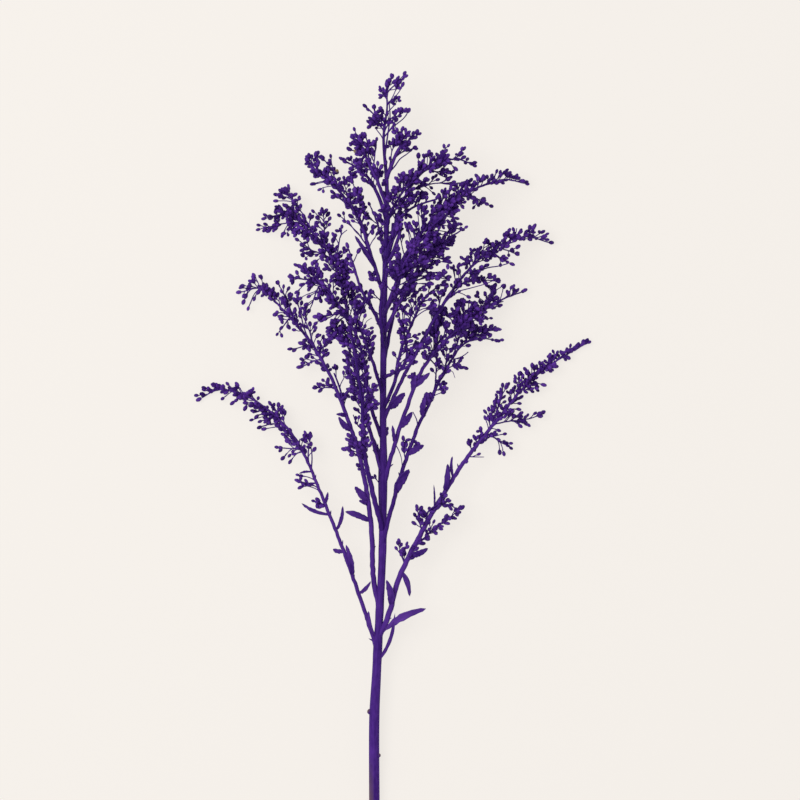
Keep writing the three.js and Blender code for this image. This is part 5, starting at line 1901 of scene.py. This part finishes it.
for row in NUBS:
    nub(stalk, *row)
for place, (line, width, shape) in enumerate(leaves["main_stem"]):
    blade(stalk, line, width, 3000 + place, shape)
for place, twig in enumerate(top_twigs):
    axis_surface(stalk, twig, 3100 + place * 10, FORK_FLARE)
    tip_bud(stalk, twig, 3200 + place)
print("with nubs, leaves and top twigs:", stalk.count, "points")

# %% Flowers of the stalk
SIDE_RING_STEP = 1.5
SIDE_LEAST_RINGS = 4
SIDE_SIDES = 5


def flower_surface(growth, name):
    """The side stalks, twigs and heads that the rule and the list have placed on a spray."""
    for place, line in enumerate(side_stalks[name]):
        rings = max(SIDE_LEAST_RINGS, round(line.length / SIDE_RING_STEP))
        points, radii = line.along(np.linspace(0, 1, rings)), np.linspace(*line.radii, rings)
        tube(growth, points, radii, SIDE_SIDES, STALK_FINISH, chance(place), place)
    for piece in flowers[name]:
        if isinstance(piece, Twig):
            twig_surface(growth, piece)
        else:
            bud(growth, piece)


flower_surface(stalk, "main_stem")
stalk_piece = stalk.mesh("stalk", FINISHES)
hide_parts("main_stem")
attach(stalk_piece, "root")
print("stalk piece:", len(stalk_piece.data.polygons), "faces")

# %% [markdown]
# ## The sprays
#
# Every spray is one piece, built by the same steps: its axis with its dry scales, its forks, a bud at each
# end, its leaves, and all the side stalks, twigs and heads that were placed on it. One loop makes them all.

# %% Every spray
BRACTS_BEYOND = 0.1


def plume(name):
    growth = Growth()
    seed = seeds[name] * 50
    axis_surface(growth, axes[name], seed)
    bracts(growth, axes[name], SPRAYS[name][1] + BRACTS_BEYOND, seed + 5)
    tip_bud(growth, axes[name], seed + 1)
    for place, fork in enumerate(forks[name]):
        axis_surface(growth, fork, seed + 10 * place + 2, FORK_FLARE)
        tip_bud(growth, fork, seed + 10 * place + 3)
    for place, (line, width, shape) in enumerate(leaves.get(name, [])):
        blade(growth, line, width, seed + 7 * place, shape)
    flower_surface(growth, name)
    piece = growth.mesh(name.replace("spray_", "plume_"), FINISHES)
    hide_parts(name)
    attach(piece, "root")
    return piece


plumes = [plume(name) for name in SPRAYS]
print("plumes:", len(plumes), "pieces,", sum(len(piece.data.polygons) for piece in plumes), "faces")

# %% [markdown]
# ## Table and light
#
# The plant lies on a plain cream table under a soft, even light, with one wide lamp from the upper left
# so that each bud has a light and a dark side. The photograph shows hardly any shadow on the table. So its
# paper is grey and glows softly by itself: the glow fills the shadows, and the lamp still adds a little.
# The table is far wider than the picture.

# %% Table
FLOOR_HALF = 4
PAPER = (107, 104, 101)
PAPER_LIGHT = (247, 242, 236)
PAPER_GLOW = 0.84
PAPER_ROUGHNESS = 0.9

floor_mesh = bpy.data.meshes.new("table")
floor_corners = [(x * FLOOR_HALF, y * FLOOR_HALF, 0) for x, y in ((-1, -1), (1, -1), (1, 1), (-1, 1))]
floor_mesh.from_pydata(floor_corners, [], [(0, 1, 2, 3)])
floor = bpy.data.objects.new("table", floor_mesh)
bpy.context.scene.collection.objects.link(floor)
table_paper = bpy.data.materials.new("table_paper")
table_paper.use_nodes = True
paper_shader = table_paper.node_tree.nodes["Principled BSDF"]
paper_shader.inputs["Base Color"].default_value = linear(*PAPER)
paper_shader.inputs["Roughness"].default_value = PAPER_ROUGHNESS
paper_shader.inputs["Specular IOR Level"].default_value = 0.0
paper_shader.inputs["Emission Color"].default_value = linear(*PAPER_LIGHT)
paper_shader.inputs["Emission Strength"].default_value = PAPER_GLOW
floor_mesh.materials.append(table_paper)
floor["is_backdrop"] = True
print("table is", 2 * FLOOR_HALF, "m wide")

# %% Light
SKY_STRENGTH = 0.42
LAMP_POWER = 22
LAMP_SIZE = 1.2
LAMP_PLACE = (-0.7, 0.35, 1.7)

world = bpy.data.worlds.new("soft_room")
bpy.context.scene.world = world
world.use_nodes = True
world.node_tree.nodes["Background"].inputs["Color"].default_value = (1, 1, 1, 1)
world.node_tree.nodes["Background"].inputs["Strength"].default_value = SKY_STRENGTH
lamp_data = bpy.data.lights.new("wide_lamp", "AREA")
lamp_data.energy = LAMP_POWER
lamp_data.size = LAMP_SIZE
lamp = bpy.data.objects.new("wide_lamp", lamp_data)
bpy.context.scene.collection.objects.link(lamp)
lamp.location = LAMP_PLACE
tip_down = math.atan2(math.hypot(*LAMP_PLACE[:2]), LAMP_PLACE[2])
turn_to_plant = math.atan2(-LAMP_PLACE[0], LAMP_PLACE[1]) + math.pi
lamp.rotation_euler = (tip_down, 0, turn_to_plant)
bpy.context.scene.view_settings.view_transform = "Standard"
print("sky", SKY_STRENGTH, "lamp", LAMP_POWER, "W")

# %% [markdown]
# ## Size and finish
#
# The box of the finer plant is printed here, and that of the plain one was printed at the start, so
# that they can be set side by side. The finer plant has to keep the size of the plain one.

# %% Print the visual box
new_low, new_high = [list(corner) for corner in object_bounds()]
print("visual box", [round(v, 4) for v in new_low], [round(v, 4) for v in new_high])
